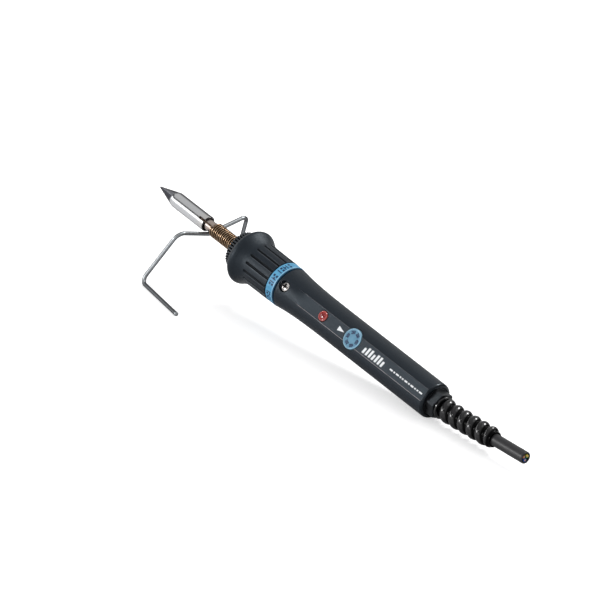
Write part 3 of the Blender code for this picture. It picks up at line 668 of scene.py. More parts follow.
def boolean(obj, cutters, operation):
    """Cut or join with loose objects, which are used up."""
    for cutter in cutters:
        modifier = obj.modifiers.new("cut", "BOOLEAN")
        modifier.operation = operation
        modifier.object = cutter
        modifier.solver = "EXACT"
    bpy.context.view_layer.update()
    evaluated = obj.evaluated_get(bpy.context.evaluated_depsgraph_get())
    mesh = bpy.data.meshes.new_from_object(evaluated)
    obj.modifiers.clear()
    obj.data = mesh
    # slivers that a cut leaves along its seam are closed up
    bm = bmesh.new()
    bm.from_mesh(mesh)
    bmesh.ops.remove_doubles(bm, verts=bm.verts, dist=2e-6)
    bmesh.ops.dissolve_degenerate(bm, edges=bm.edges, dist=2e-6)
    bmesh.ops.delete(bm, geom=[e for e in bm.edges if not e.link_faces], context="EDGES")
    rim = [e for e in bm.edges if e.is_boundary]
    if rim:
        bmesh.ops.holes_fill(bm, edges=rim, sides=8)
    bm.to_mesh(mesh)
    bm.free()
    for polygon in mesh.polygons:
        polygon.material_index = 0
    for cutter in cutters:
        bpy.data.objects.remove(cutter, do_unlink=True)


def piece(name, shape, material, body, sharp=32.0, join=(), cut=()):
    """A finished piece riding on a body; loose objects may be joined on, then cut away."""
    obj = solid(name, shape, tidy=True)
    dress(obj, material, sharp)
    for operation, others in (("UNION", join), ("DIFFERENCE", cut)):
        if others:
            boolean(obj, others, operation)
            dress(obj, material, sharp)
    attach(obj, body)
    return obj


def rebuilt(cad_node, shape, material, body, slot, **options):
    """A piece that takes the place of a CAD node."""
    obj = piece(cad_node + "_fine", shape, material, body, **options)
    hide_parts(cad_node)


# ------------------------------------------------------------------ profiles
def soften(points, closed=False, n=4):
    """A profile whose corners with a third number are rounded over that length."""
    out = []
    count = len(points)
    for i, point in enumerate(points):
        if len(point) < 3 or (not closed and i in (0, count - 1)):
            out.append((point[0], point[1]))
            continue
        corner = np.array(point[:2], float)
        before = np.array(points[i - 1][:2], float) - corner
        after = np.array(points[(i + 1) % count][:2], float) - corner
        before_len, after_len = np.linalg.norm(before), np.linalg.norm(after)
        reach = min(point[2], 0.48 * before_len, 0.48 * after_len)
        start, end = corner + before / before_len * reach, corner + after / after_len * reach
        for j in range(n + 1):
            u = j / n
            out.append(tuple((1 - u) ** 2 * start + 2 * u * (1 - u) * corner + u * u * end))
    return out


def flow(points, per):
    """A smooth centripetal Catmull-Rom curve, `per` steps to each span."""
    p = [np.array(q, float) for q in points]
    p = [2 * p[0] - p[1]] + p + [2 * p[-1] - p[-2]]
    out = []
    for i in range(1, len(p) - 2):
        a, b, c, d = p[i - 1 : i + 3]
        # knot steps follow chord lengths, which keeps uneven points from overshooting
        t1 = np.linalg.norm(b - a) ** 0.5
        t2 = t1 + np.linalg.norm(c - b) ** 0.5
        t3 = t2 + np.linalg.norm(d - c) ** 0.5
        for j in range(per):
            t = t1 + (t2 - t1) * j / per
            ab = (t1 - t) / t1 * a + t / t1 * b
            bc = (t2 - t) / (t2 - t1) * b + (t - t1) / (t2 - t1) * c
            cd = (t3 - t) / (t3 - t2) * c + (t - t2) / (t3 - t2) * d
            abc = (t2 - t) / t2 * ab + t / t2 * bc
            bcd = (t3 - t) / (t3 - t1) * bc + (t - t1) / (t3 - t1) * cd
            out.append(tuple((t2 - t) / (t2 - t1) * abc + (t - t1) / (t2 - t1) * bcd))
    out.append(tuple(p[-2]))
    return out


def dense(points, step, closed=False):
    """Long profile segments are divided so that none is longer than step."""
    out = []
    n = len(points)
    for i in range(n if closed else n - 1):
        a, b = np.array(points[i], float), np.array(points[(i + 1) % n], float)
        count = max(1, int(math.ceil(np.linalg.norm(b - a) / step)))
        out += [tuple(a + (b - a) * j / count) for j in range(count)]
    if not closed:
        out.append(tuple(points[-1]))
    return out


def smooth(u):
    return u * u * (3 - 2 * u)


def smooth_min(a, b, width):
    """The smaller of two values, blended over the width."""
    h = np.clip(0.5 + 0.5 * (a - b) / width, 0.0, 1.0)
    return a * (1 - h) + b * h - width * h * (1 - h)


# ------------------------------------------------------------------ shapes
def grid_faces(rows, n, closed=False):
    """Quads between rings of n points; closed joins the last ring to the first."""
    faces = []
    for i in range(rows if closed else rows - 1):
        a, b = i * n, ((i + 1) % rows) * n
        for j in range(n):
            k = (j + 1) % n
            faces.append((a + j, b + j, b + k, a + k))
    return faces


def around(n):
    return np.arange(n) * TAU / n


def revolve(profile, angles, closed=False, radial=None):
    """A profile (x, r) turned about the tool axis; radial(x, r, angle) may change r."""
    x, r = (column[:, None] for column in np.array(profile, float).T)
    x, r, t = np.broadcast_arrays(x, r, np.asarray(angles, float)[None, :])
    if radial is not None:
        r = radial(x, r, t)
    return to_world(x, r * np.sin(t), r * np.cos(t)), grid_faces(len(x), len(angles), closed)


def upright(x0, profile, n, radial=None, y0=0.0):
    """A profile (z, r) turned about the dial direction at tool x0, y0."""
    z, r = (column[:, None] for column in np.array(profile, float).T)
    z, r, t = np.broadcast_arrays(z, r, around(n)[None, :])
    if radial is not None:
        r = radial(z, r, t)
    return to_world(x0 + r * np.cos(t), y0 + r * np.sin(t), z), grid_faces(len(z), n)


def drill(name, x, radius, low, high, n, y=0.0):
    """A loose upright cylinder to cut with."""
    profile = [(low, 0.0), (low, radius), (high, radius), (high, 0.0)]
    return solid(name, upright(x, profile, n, y0=y))


def frames_along(path):
    """Two cross directions and the run at each point, turned as little as possible."""
    runs = np.gradient(path, axis=0)
    runs /= np.linalg.norm(runs, axis=1)[:, None]
    aside = np.array([0.0, 0.0, 1.0]) if abs(runs[0][2]) < 0.9 else np.array([1.0, 0.0, 0.0])
    u = np.cross(runs[0], aside)
    u /= np.linalg.norm(u)
    us = []
    for run in runs:
        u = u - run * (u @ run)
        u /= np.linalg.norm(u)
        us.append(u.copy())
    us = np.array(us)
    return us, np.cross(runs, us), runs


def sweep(path, radius, ring, end_reach):
    """A round wire along row-frame points, in metres; its ends are rounded over end_reach."""
    path = np.asarray(path, float)
    us, vs, runs = frames_along(path)

    def end_ring(end, s, side):
        centre = path[end] + runs[end] * end_reach * (side * (1.0 - s))
        return centre, us[end], vs[end], radius * (1.0 - (1.0 - s) ** 2 * 0.55)

    steps = (0.0, 0.25, 0.6)
    rows = [end_ring(0, s, -1.0) for s in steps]
    rows += [(path[k], us[k], vs[k], radius) for k in range(len(path))]
    rows += [end_ring(-1, s, 1.0) for s in steps[::-1]]
    verts = [
        centre + r * (math.cos(t) * u + math.sin(t) * v)
        for centre, u, v, r in rows
        for t in around(ring)
    ]
    faces = grid_faces(len(rows), ring)
    first = len(verts)
    verts += [rows[0][0], rows[-1][0]]
    base = (len(rows) - 1) * ring
    for j in range(ring):
        k = (j + 1) % ring
        faces.append((first, j, k))
        faces.append((first + 1, base + k, base + j))
    return np.array(verts), faces


def slab(outline, low, high, place):
    """A closed plate from a flat outline; place(x, y, level) gives row-frame points."""
    n = len(outline)
    x, y = np.array(outline, float).T
    verts = [*place(x, y, low), *place(x, y, high)]
    faces = [tuple(range(n))[::-1], tuple(range(n, 2 * n))]
    faces += [(i, (i + 1) % n, n + (i + 1) % n, n + i) for i in range(n)]
    return verts, faces


def merge(shapes):
    verts, faces = [], []
    for more_verts, more_faces in shapes:
        k = len(verts)
        verts += [tuple(v) for v in more_verts]
        faces += [tuple(i + k for i in face) for face in more_faces]
    return verts, faces


# ------------------------------------------------------------------ tip, heater tube, spring
def soldering_tip():
    point_r, sleeve_r, bore_r, slot_half = 0.42, 4.3, 3.4, 0.7
    slot_x = 35.6  # where the rounded front end of the slot begins
    profile = [
        (-1.3 + point_r * (1 - math.cos(a)), point_r * math.sin(a))
        for a in np.linspace(0.0, 75.1 * DEG, 9)
    ]
    profile += dense([profile[-1], (12.35, 4.05)], 0.8)[1:]
    profile += flow([(12.35, 4.05), (12.9, 4.18), (13.6, 4.285), (14.6, sleeve_r)], 4)[1:]
    profile += dense([(14.6, sleeve_r), (38.95, sleeve_r)], 1.2)[1:]
    rim = [(38.95, sleeve_r), (39.2, sleeve_r, 0.12), (39.5, 4.02, 0.1), (39.5, 3.5, 0.08)]
    profile += soften(rim + [(39.35, bore_r)], n=3)[1:]
    profile += dense([(39.35, bore_r), (15.6, bore_r)], 2.0)[1:]
    profile += [(15.0, 3.1), (14.6, 2.6), (14.6, 0.0)]

    # the slot that the spring's leg lies in, cut through the sleeve's rear edge
    slot = [(41.5, -slot_half), (41.5, slot_half), (slot_x, slot_half)]
    slot += [
        (slot_x - slot_half * math.sin(a), slot_half * math.cos(a))
        for a in np.linspace(0.0, math.pi, 13)[1:-1]
    ]
    slot += [(slot_x, -slot_half)]
    sin_leg, cos_leg = math.sin(LEG_ANGLE), math.cos(LEG_ANGLE)

    def leaned(x, y, h):
        return to_world(x, y * cos_leg + h * sin_leg, h * cos_leg - y * sin_leg)

    shape = revolve(profile, around(128))
    cutter = solid("slot_cut", slab(slot, 2.4, 6.0, leaned))
    rebuilt("soldering_tip", shape, TIP_METAL, "tip", "plated_tip", cut=[cutter])


def heater_tube():
    outer_r, inner_r, rear = 3.0, 2.6, 92.0
    profile = [
        (17.2 + 2.4 * (1 - math.cos(a)), outer_r * math.sin(a))
        for a in np.linspace(0.0, math.pi / 2, 10)
    ]
    profile += dense([(19.6, outer_r), (rear, outer_r)], 2.5)[1:] + [(rear, inner_r)]
    profile += dense([(rear, inner_r), (19.8, inner_r)], 4.0)[1:] + [(18.9, 2.0), (18.3, 0.0)]
    rebuilt("heater_tube", revolve(profile, around(72)), STEEL, "iron", "heated_steel")


def tip_spring():
    coil_r, wire_r, pitch, steps = 3.78, 0.45, 1.37, 44  # steps to a turn
    start, end = 45.65, 69.3
    leg_y, leg_z = coil_r * math.sin(LEG_ANGLE), coil_r * math.cos(LEG_ANGLE)
    leg = [(x, leg_y, leg_z) for x in np.linspace(36.2, 44.0, 14)]
    coil = []
    for i in range(int((end - start) / pitch * steps) + 1):
        a = LEG_ANGLE - TAU * i / steps
        coil.append((start + pitch * i / steps, coil_r * math.sin(a), coil_r * math.cos(a)))
    # the leg leans over into the first turn along a short smooth bend, kept on the coil's radius
    p0, p3 = np.array(leg[-1]), np.array(coil[4])
    run = np.array(coil[5]) - np.array(coil[3])
    run /= np.linalg.norm(run)
    p1, p2 = p0 + np.array([1.0, 0.0, 0.0]) * 1.35, p3 - run * 0.85
    bend = []
    for u in np.linspace(0.0, 1.0, 14)[1:-1]:
        w = 1 - u
        q = w**3 * p0 + 3 * u * w**2 * p1 + 3 * u * u * w * p2 + u**3 * p3
        q[1:] *= coil_r / math.hypot(q[1], q[2])
        bend.append(tuple(q))
    path = to_world(*np.array(leg + bend + coil[4:]).T)
    shape = sweep(path, wire_r * MM, ring=12, end_reach=0.0002)
    rebuilt("tip_spring", shape, BRONZE, "iron", "bronze_wire", sharp=60.0)


# ------------------------------------------------------------------ knurled ring nut
def ring_nut():
    teeth, root_r, tooth_h = 40, 9.7, 0.9
    crest_r, sleeve_r = root_r + tooth_h, 7.6

    def tooth(x, r, t):
        """Trapezoid teeth on everything that stands beyond the root circle."""
        phase = (t * teeth / TAU) % 1.0
        up = np.clip((0.5 - np.abs(phase - 0.5)) / 0.5, 0.0, 1.0)
        flank = smooth(np.clip((up - 0.30) / 0.34, 0.0, 1.0))
        return np.where(r > 9.0, np.minimum(r, root_r + flank * tooth_h), r)

    profile = [  # x, r, corner rounding
        (67.1, 4.9, 0.25), (67.1, crest_r, 0.3), (70.7, crest_r, 0.3), (70.7, sleeve_r, 0.1),
        (76.5, sleeve_r, 0.4), (76.5, 6.3), (71.6, 6.3), (71.6, 4.9),
    ]  # fmt: skip
    profile = dense(soften(profile, closed=True), 0.9, closed=True)
    shape = revolve(profile, around(teeth * 10), closed=True, radial=tooth)
    rebuilt("ring_nut", shape, NYLON_RING, "ring", "black_nylon", sharp=28.0)


# ------------------------------------------------------------------ fluted front collar
COLLAR_NOSE = [  # x, r
    (71.08, 11.0), (71.6, 12.1), (72.3, 13.1), (73.0, 13.9), (74.0, 14.65), (75.1, 15.05),
    (76.2, 14.9), (77.4, 14.3), (78.6, 13.6), (80.0, 12.95), (81.4, 12.4), (82.8, 12.05),
    (84.6, 11.87), (88.0, 11.82),
]  # fmt: skip


def front_collar():
    groove_r = 0.8
    groove_centre_r = 12.05
    groove_x = 84.1  # the grooves' ball ends are centred here
    pitch = TAU / FLUTES
    half = math.asin(groove_r / groove_centre_r)
    columns = []
    for k in range(FLUTES):
        centre = (k + 0.5) * pitch
        columns += list(centre + np.sin(np.linspace(-1.0, 1.0, 19) * math.pi / 2) * half)
        columns += list(centre + half + (pitch - 2 * half) * (np.arange(1, 9) / 9.0))

    def fluted(x, r, t):
        """Round-bottomed grooves with a ball end, blended in by a small radius."""
        off = ((t / pitch) % 1.0 - 0.5) * TAU / FLUTES
        ahead = np.clip(groove_x - x, 0.0, None)
        width = np.sqrt(np.clip(groove_r**2 - ahead**2, 0.0, None))
        side = groove_centre_r * np.sin(off)
        depth = np.sqrt(np.clip(width**2 - side**2, 0.0, None))
        grooved = (np.abs(side) < width) & (r > 10.0)
        floor_r = np.where(grooved, groove_centre_r * np.cos(off) - depth, 99.0)
        return np.where(grooved, np.minimum(smooth_min(floor_r, r, 0.10), r), r)

    nose = flow(COLLAR_NOSE, 5)
    # the rows crowd together where the grooves begin
    crowd = np.concatenate([np.linspace(82.8, 84.4, 24), np.linspace(84.55, 85.8, 8)])
    profile = [(71.0, 8.0), (71.0, 10.75), (71.02, 10.9)]
    profile += [p for p in nose if p[0] < 82.7]
    profile += [(x, float(np.interp(x, *zip(*nose)))) for x in crowd]
    profile += [p for p in nose if p[0] > 85.9]
    profile += dense([(88.0, 11.82), (100.9, 11.71)], 1.0)[1:]
    profile += soften([(100.9, 11.71), (101.25, 11.7, 0.25), (101.25, 11.25)])[1:]
    profile += [(101.25, 8.2)]
    profile += soften([(101.25, 8.2), (118.0, 8.2, 0.3), (118.0, 7.2, 0.2), (102.0, 7.2)], n=3)[1:]
    profile += [(86.7, 7.2), (86.7, 6.2), (77.0, 6.2), (77.0, 8.0)]
    shape = revolve(profile, columns, closed=True, radial=fluted)
    hole = drill("collar_hole", SCREW_X, radius=1.3, low=4.0, high=12.0, n=24)
    rebuilt("front_collar", shape, NYLON, "iron", "black_nylon", sharp=30.0, cut=[hole])


# ------------------------------------------------------------------ blue marker ring
MARKER_R = 11.6
# each kind of mark: blocks as x from, x to, arc from, arc to
MARK_BLOCKS = {
    0: [],
    1: [(102.8, 106.0, 0.0, 0.55)],
    2: [(102.8, 104.0, 0.0, 1.15), (104.8, 106.0, 0.0, 1.15)],
    3: [(102.8, 106.0, 0.0, 0.5), (103.9, 104.9, 0.5, 1.2)],
}
# groups of marks round the ring: arc at the start, arc step, kinds
MARK_GROUPS = [
    (-3.9, 1.62, (2, 1, 3, 2, 0, 1, 2, 3, 1, 2)),
    (-14.2, 1.5, (1, 2, 3, 2, 1)),
    (22.0, 1.62, (3, 2, 1, 2, 0, 2, 3, 1)),
]


def marker_ring():
    profile = [  # x, r, corner rounding
        (101.5, 8.5), (101.5, 11.25, 0.12), (101.9, MARKER_R, 0.18),
        (106.9, MARKER_R, 0.18), (MARKER_END, 11.25, 0.12), (MARKER_END, 8.5),
    ]  # fmt: skip
    profile = dense(soften(profile, closed=True), 1.5, closed=True)
    shape = revolve(profile, around(144), closed=True)
    rebuilt("marker_ring", shape, BLUE_RING, "iron", "blue_plastic")


def curved_mark(x0, x1, arc0, arc1):
    """A thin closed plate that follows the marker ring, given by x and arc length."""
    n = max(2, int(abs(arc1 - arc0) / 0.35) + 1)
    arcs = np.linspace(arc0, arc1, n)
    x = np.repeat([x0, x1], n)
    t = np.concatenate([arcs, arcs[::-1]]) / MARKER_R
    verts = []
    for level in (-0.03, 0.04):
        r = MARKER_R + level
        verts += list(to_world(x, r * np.sin(t), r * np.cos(t)))
    k = 2 * n
    faces = []
    for i in range(n - 1):
        a, b, c, d = i, i + 1, k - 2 - i, k - 1 - i
        faces.append((a, b, c, d))
        faces.append((k + a, k + d, k + c, k + b))
    faces += [(i, k + i, k + (i + 1) % k, (i + 1) % k) for i in range(k)]
    return verts, faces


def ring_marks():
    """Little blocks in two rows, in three groups round the ring."""
    marks = []
    for arc, step, kinds in MARK_GROUPS:
        for kind in kinds:
            for x0, x1, arc0, arc1 in MARK_BLOCKS[kind]:
                marks.append(curved_mark(x0, x1, arc + arc0, arc + arc1))
            arc += step
    piece("ring_print_marks", merge(marks), RING_INK, "iron")


# ------------------------------------------------------------------ handle shell
SHELL_FRONT = [(109.0, 11.3), (110.3, 11.19), (111.9, 11.0), (115.8, 10.64), (118.6, 10.46)]  # x, r
SHELL_BODY = [  # x, r
    (118.6, 10.46), (119.7, 10.4), (123.0, 10.24), (127.5, 10.08), (134.0, 9.93), (143.0, 9.84),
    (160.0, 9.82), (200.0, 9.76), (222.95, HANDLE_R),
]  # fmt: skip
SHELL_LIP = [  # x, r
    (LIP_X, 9.70), (223.35, 9.6), (223.65, 9.42), (223.9, 9.15), (224.1, 8.8), (224.2, 8.42),
]  # fmt: skip


def shell_profile():
    """Outer and inner runs of (x, r), from the front face back and forward again."""
    front = [(107.95, 8.5), (107.95, 11.05, 0.1), (108.25, 11.3, 0.15), (109.0, 11.3)]
    outer = soften(front, n=3)[1:] + flow(SHELL_FRONT, 6)[1:]
    body_x = [*np.arange(119.0, 130.0, 0.4), *np.arange(130.5, 222.6, 1.0), 222.75]
    body = flow(SHELL_BODY, 8)
    outer += [(x, float(np.interp(x, *zip(*body)))) for x in body_x]
    outer += [(222.85, HANDLE_R), (222.93, 9.70), (LIP_X, 9.70)]
    outer += flow(SHELL_LIP, 4)[1:]
    inner = [(224.2, 8.15), (224.1, 8.0)] + dense([(224.1, 8.0), (118.6, 8.0)], 12.0)[1:]
    inner += [(118.3, 8.5), (107.95, 8.5)]
    return outer, inner


def shell_ring(x, r, outside):
    """One ring's y and z: the label strip first, then the round with a bead at each end."""
    strip_y = np.linspace(-STRIP_HALF, STRIP_HALF, 25)
    strip_z = np.sqrt(np.maximum(r * r - strip_y * strip_y, 0.0))
    if outside and x > 118.8:
        flatness = smooth(min(1.0, (x - 118.8) / 9.5))
        strip_z = strip_z + (np.minimum(strip_z, STRIP_Z) - strip_z) * flatness
    edge = math.asin(min(1.0, STRIP_HALF / r))
    bead = 0.34 / r  # angle that a bead covers
    near = np.concatenate([np.linspace(0.0, bead, 7)[1:], [bead * 1.35]])
    spread = np.linspace(edge + bead * 1.35, TAU - edge - bead * 1.35, 150)[1:-1]
    angles = np.concatenate([edge + near, spread, TAU - edge - near[::-1]])
    radii = np.full(len(angles), float(r))
    if outside and 123.0 < x < 222.9:
        crest = 0.13 * min(1.0, (x - 123.0) / 3.0) * np.sin(math.pi * near[:-1] / bead)
        radii[: len(crest)] += crest
        radii[-len(crest) :] += crest[::-1]
    y = np.concatenate([strip_y, radii * np.sin(angles)])
    z = np.concatenate([strip_z, radii * np.cos(angles)])
    return y, z


def handle_shell():
    lens_r = 3.0
    outer, inner = shell_profile()
    profile = outer + inner
    rings = np.array([shell_ring(x, r, i < len(outer)) for i, (x, r) in enumerate(profile)])
    x = np.array([x for x, _ in profile])[:, None]
    verts = to_world(x, rings[:, 0], rings[:, 1])
    faces = grid_faces(len(profile), rings.shape[2], closed=True)
    lens_cut = [  # z, r
        (2.0, 0.0), (2.0, lens_r), (9.1, lens_r), (9.5, lens_r + 0.3), (14.0, lens_r + 0.3),
        (14.0, 0.0),
    ]  # fmt: skip
    screw_cut = [  # z, r
        (2.0, 0.0), (2.0, 1.45), (9.1, 1.45), (9.1, 3.2), (10.6, 3.2), (11.4, 3.55),
        (16.0, 3.55), (16.0, 0.0),
    ]  # fmt: skip
    cutters = [
        drill("cut_dial", DIAL_X, radius=5.8, low=2.0, high=14.0, n=96),
        solid("cut_lens", upright(LENS_X, lens_cut, 64)),
        solid("cut_screw", upright(SCREW_X, screw_cut, 64)),
    ]
    rebuilt(
        "handle_shell", (verts, faces), NYLON_HANDLE, "iron", "black_nylon", sharp=26.0, cut=cutters
    )


# ------------------------------------------------------------------ screw, lens, dial
def recess_arm(name, along_x):
    """One arm pair of the cross recess: wide at the top, narrowing to the floor."""
    corners = []
    for z, length, width in ((9.6, 1.3, 0.34), (10.9, 2.1, 0.6)):
        for side_a, side_b in ((-1, -1), (1, -1), (1, 1), (-1, 1)):
            a, b = side_a * length, side_b * width
            corners.append((SCREW_X + (a if along_x else b), b if along_x else a, z))
    faces = [(0, 1, 2, 3), (4, 5, 6, 7), (0, 1, 5, 4), (1, 2, 6, 5), (2, 3, 7, 6), (3, 0, 4, 7)]
    return solid(name, (to_world(*zip(*corners)), faces))


def fixing_screw():
    profile = [  # z, r
        (10.56, 0.0), (10.55, 0.6), (10.48, 1.3), (10.33, 1.9), (10.08, 2.32), (9.85, 2.52),
        (9.6, 2.6), (9.42, 2.57), (9.35, 2.45), (9.35, 1.05), (6.6, 1.05), (6.3, 0.7), (6.3, 0.0),
    ]  # fmt: skip
    arms = [recess_arm("arm_a", True), recess_arm("arm_b", False)]
    shape = upright(SCREW_X, profile, 72)
    rebuilt("fixing_screw", shape, NICKEL, "iron", "nickel", sharp=30.0, cut=arms)


def indicator_lens():
    dome = [(10.02, 0.0), (9.98, 0.55), (9.84, 1.12), (9.62, 1.62), (9.5, 1.82)]  # z, r
    rim = [(9.5, 2.0), (9.74, 2.14), (9.8, 2.34), (9.7, 2.56), (9.5, 2.67), (9.3, 2.7)]
    profile = flow(dome, 4) + [(9.44, 1.92)] + flow(rim, 3)
    profile += [(6.75, 2.7), (6.7, 2.65), (6.7, 0.0)]
    shape = upright(LENS_X, profile, 72)
    rebuilt("indicator_lens", shape, RED, "iron", "red_lens", sharp=50.0)


DIAL_TOP = 9.55
DIAL_R = 5.5
RIBS = 60


def temperature_dial():
    def ribbed(z, r, t):
        """Shallow finger ribs on the side wall, dying out under the rim."""
        depth = 0.09 * np.clip((9.2 - z) / 0.25, 0.0, 1.0) * np.clip((z - 7.0) / 0.2, 0.0, 1.0)
        return np.where(r > 5.4, r - depth * (0.5 + 0.5 * np.cos(RIBS * t)), r)

    face = DIAL_TOP - 0.3
    rim = [  # z, r, corner rounding
        (face, 4.55), (face, 4.71, 0.1), (DIAL_TOP, 4.87, 0.14), (DIAL_TOP, 5.31, 0.16),
        (DIAL_TOP - 0.22, DIAL_R, 0.16), (9.15, DIAL_R),
    ]  # fmt: skip
    profile = [(DIAL_TOP - 0.32, 0.0), (DIAL_TOP - 0.32, 2.0), (face, 4.55)]
    profile += soften(rim, n=3)[1:] + dense([(9.15, DIAL_R), (6.95, DIAL_R)], 0.25)[1:]
    profile += [(6.9, 5.45), (6.9, 1.8), (8.6, 1.8), (8.6, 0.0)]
    shape = upright(DIAL_X, profile, 8 * RIBS, radial=ribbed)
    rebuilt("temperature_dial", shape, BLUE_DIAL, "dial", "blue_plastic", sharp=30.0)


def numeral(text, size, thick):
    """A number's points in millimetres, centred and reading along x, and its faces."""
    curve = bpy.data.curves.new("numeral", "FONT")
    curve.body = text
    curve.size = size
    curve.extrude = thick / 2
    curve.resolution_u = 3
    curve.align_x = "CENTER"
    curve.align_y = "CENTER"
    curve.offset = 0.05 * size
    obj = bpy.data.objects.new("numeral", curve)
    bpy.context.scene.collection.objects.link(obj)
    bpy.context.view_layer.update()
    evaluated = obj.evaluated_get(bpy.context.evaluated_depsgraph_get())
    mesh = bpy.data.meshes.new_from_object(evaluated)
    points = np.array([v.co for v in mesh.vertices])
    faces = [tuple(p.vertices) for p in mesh.polygons]
    bpy.data.objects.remove(obj, do_unlink=True)
    bpy.data.meshes.remove(mesh)
    return points, faces


def dial_numbers():
    """Numbers round the dial's face with their heads outwards."""
    circle_r, narrowing = 3.3, 0.7
    parts = []
    for k, value in enumerate(("200", "250", "300", "350", "400", "450")):
        points, faces = numeral(value, size=2.35, thick=0.08)
        points[:, 0] *= narrowing
        a = math.pi + (-120.0 + 60.0 * k) * DEG
        out, side = circle_r + points[:, 1], points[:, 0]
        x = DIAL_X + math.cos(a) * out + math.sin(a) * side
        y = math.sin(a) * out - math.cos(a) * side
        parts.append((to_world(x, y, DIAL_TOP - 0.285 + points[:, 2]), faces))
    piece("dial_numbers", merge(parts), NAVY_INK, "dial", sharp=30.0)


# ------------------------------------------------------------------ printing on the label strip
def on_strip(x, y, h):
    return to_world(x, y, STRIP_Z + h)


def pointer_triangle():
    outline = [(154.6, -1.3), (159.2, 0.0), (154.6, 1.3)]
    piece("pointer_triangle", slab(outline, -0.02, 0.05, on_strip), WHITE_INK, "iron")


def strip_bars():
    """Seven slanted bars, every third one short."""
    width, lean, low = 1.45, 0.14, -2.4
    bars = []
    for k in range(7):
        x = 175.6 + 2.36 * k
        high = 1.8 if k % 3 else 0.6
        left, right = x + lean * low, x + lean * high
        outline = [(left, low), (left + width, low), (right + width, high), (right, high)]
        bars.append(slab(outline, -0.02, 0.05, on_strip))
    piece("strip_print_bars", merge(bars), WHITE_INK, "iron")


def round_block(x0, x1, y0, y1, r):
    """A rectangle's outline with its corners rounded."""
    corners = ((x1 - r, y1 - r, 0), (x0 + r, y1 - r, 90), (x0 + r, y0 + r, 180), (x1 - r, y0 + r, 270))
    return [
        (x + r * math.cos((a + 30 * k) * DEG), y + r * math.sin((a + 30 * k) * DEG))
        for x, y, a in corners
        for k in range(4)
    ]


def strip_dashes():
    dashes = []
    x = 196.0
    for width in (2.2, 1.1, 2.2, 1.1, 1.1, 2.2, 1.1, 2.2, 1.1, 1.1, 2.2):
        dashes.append(slab(round_block(x, x + width, -0.75, 0.1, 0.12), -0.02, 0.045, on_strip))
        x += width + 0.76
    piece("strip_print_dashes", merge(dashes), WHITE_INK, "iron")


# ------------------------------------------------------------------ end bushing
BUSH_R = 7.45  # round that cuts the hexagon's corners


def bushing_hexagon():
    """Angle of one corner and distance to the flats, from the CAD node's rear corners."""
    points = tool_points("end_bushing")
    radii = np.hypot(points[:, 1], points[:, 2])
    corners = (points[:, 0] > 229.0) & (radii > 7.4)
    phase, corner_r = math.pi / 6, 7.6  # used where the node has no such corners
    if corners.any():
        first = points[corners][0]
        phase, corner_r = float(np.arctan2(first[1], first[2])), float(radii[corners].max())
    return phase, corner_r * math.cos(math.pi / 6)


def bushing_tongue():
    """Half a tube at the bushing's front, on the side away from the dial."""
    outer_r, inner_r, n = 7.5, 3.5, 40
    angles = np.linspace(0.5 * math.pi + 0.04, 1.5 * math.pi - 0.04, n)
    back = angles[::-1]
    y = np.concatenate([outer_r * np.sin(angles), inner_r * np.sin(back)])
    z = np.concatenate([outer_r * np.cos(angles), np.minimum(inner_r * np.cos(back), -0.3)])
    stations = ((213.8, 0.985), (214.1, 1.0), (221.1, 1.0))  # x, scale of the section
    verts = np.concatenate([to_world(x, y * k, z * k) for x, k in stations])
    count = len(y)
    faces = grid_faces(3, count)
    for j in range(n - 1):
        a, b, c, d = j, j + 1, count - 2 - j, count - 1 - j
        faces.append((a, d, c, b))
        faces.append(tuple(2 * count + i for i in (a, b, c, d)))
    return solid("tongue", (verts, faces))


def end_bushing():
    phase, flat_r = bushing_hexagon()
    sector = math.pi / 3

    def hexed(x, r, t):
        """Six flats with rounded corners; every second flat carries fine ribs."""
        local = (t - phase) % sector - math.pi / 6
        hex_r = smooth_min(BUSH_R, flat_r / np.cos(local), 0.25)
        across = flat_r * np.tan(local)
        which = np.floor(((t - phase) % TAU) / sector).astype(int)
        facing = np.floor(((15.0 * DEG - phase) % TAU) / sector).astype(int)
        rib = 0.13 * (0.5 + 0.5 * np.cos(TAU * across / 0.78)) * (np.abs(across) < 3.3)
        hex_r = hex_r - np.where((which - facing) % 2 == 0, rib, 0.0)
        drop = np.clip((x - 229.1) / 0.3, 0.0, 1.0) * 0.2
        return np.where((x > 223.7) & (r > 6.6), hex_r - drop, r)

    # x, r, corner rounding; 7.0 is a stand-in that hexed replaces
    profile = soften([(220.4, 5.0), (220.4, 7.7, 0.3), (223.68, 7.7, 0.25), (223.7, 7.1)], n=3)[1:]
    hex_x = [223.78, *np.linspace(224.0, 228.9, 9), 229.1, 229.25, 229.4]
    profile += [(x, 7.0) for x in hex_x]
    profile += [(229.4, 5.2), (220.8, 5.2), (220.8, 3.5), (220.4, 3.5)]
    holes = [
        drill("hole%d" % k, 217.4, radius=0.85, low=-9.0, high=4.0, n=20, y=4.65 * side)
        for k, side in ((0, 1), (1, -1))
    ]
    shape = revolve(profile, around(360), closed=True, radial=hexed)
    rebuilt(
        "end_bushing", shape, NYLON_GLOSS, "iron", "black_nylon",
        sharp=26.0, join=[bushing_tongue()], cut=holes,
    )  # fmt: skip


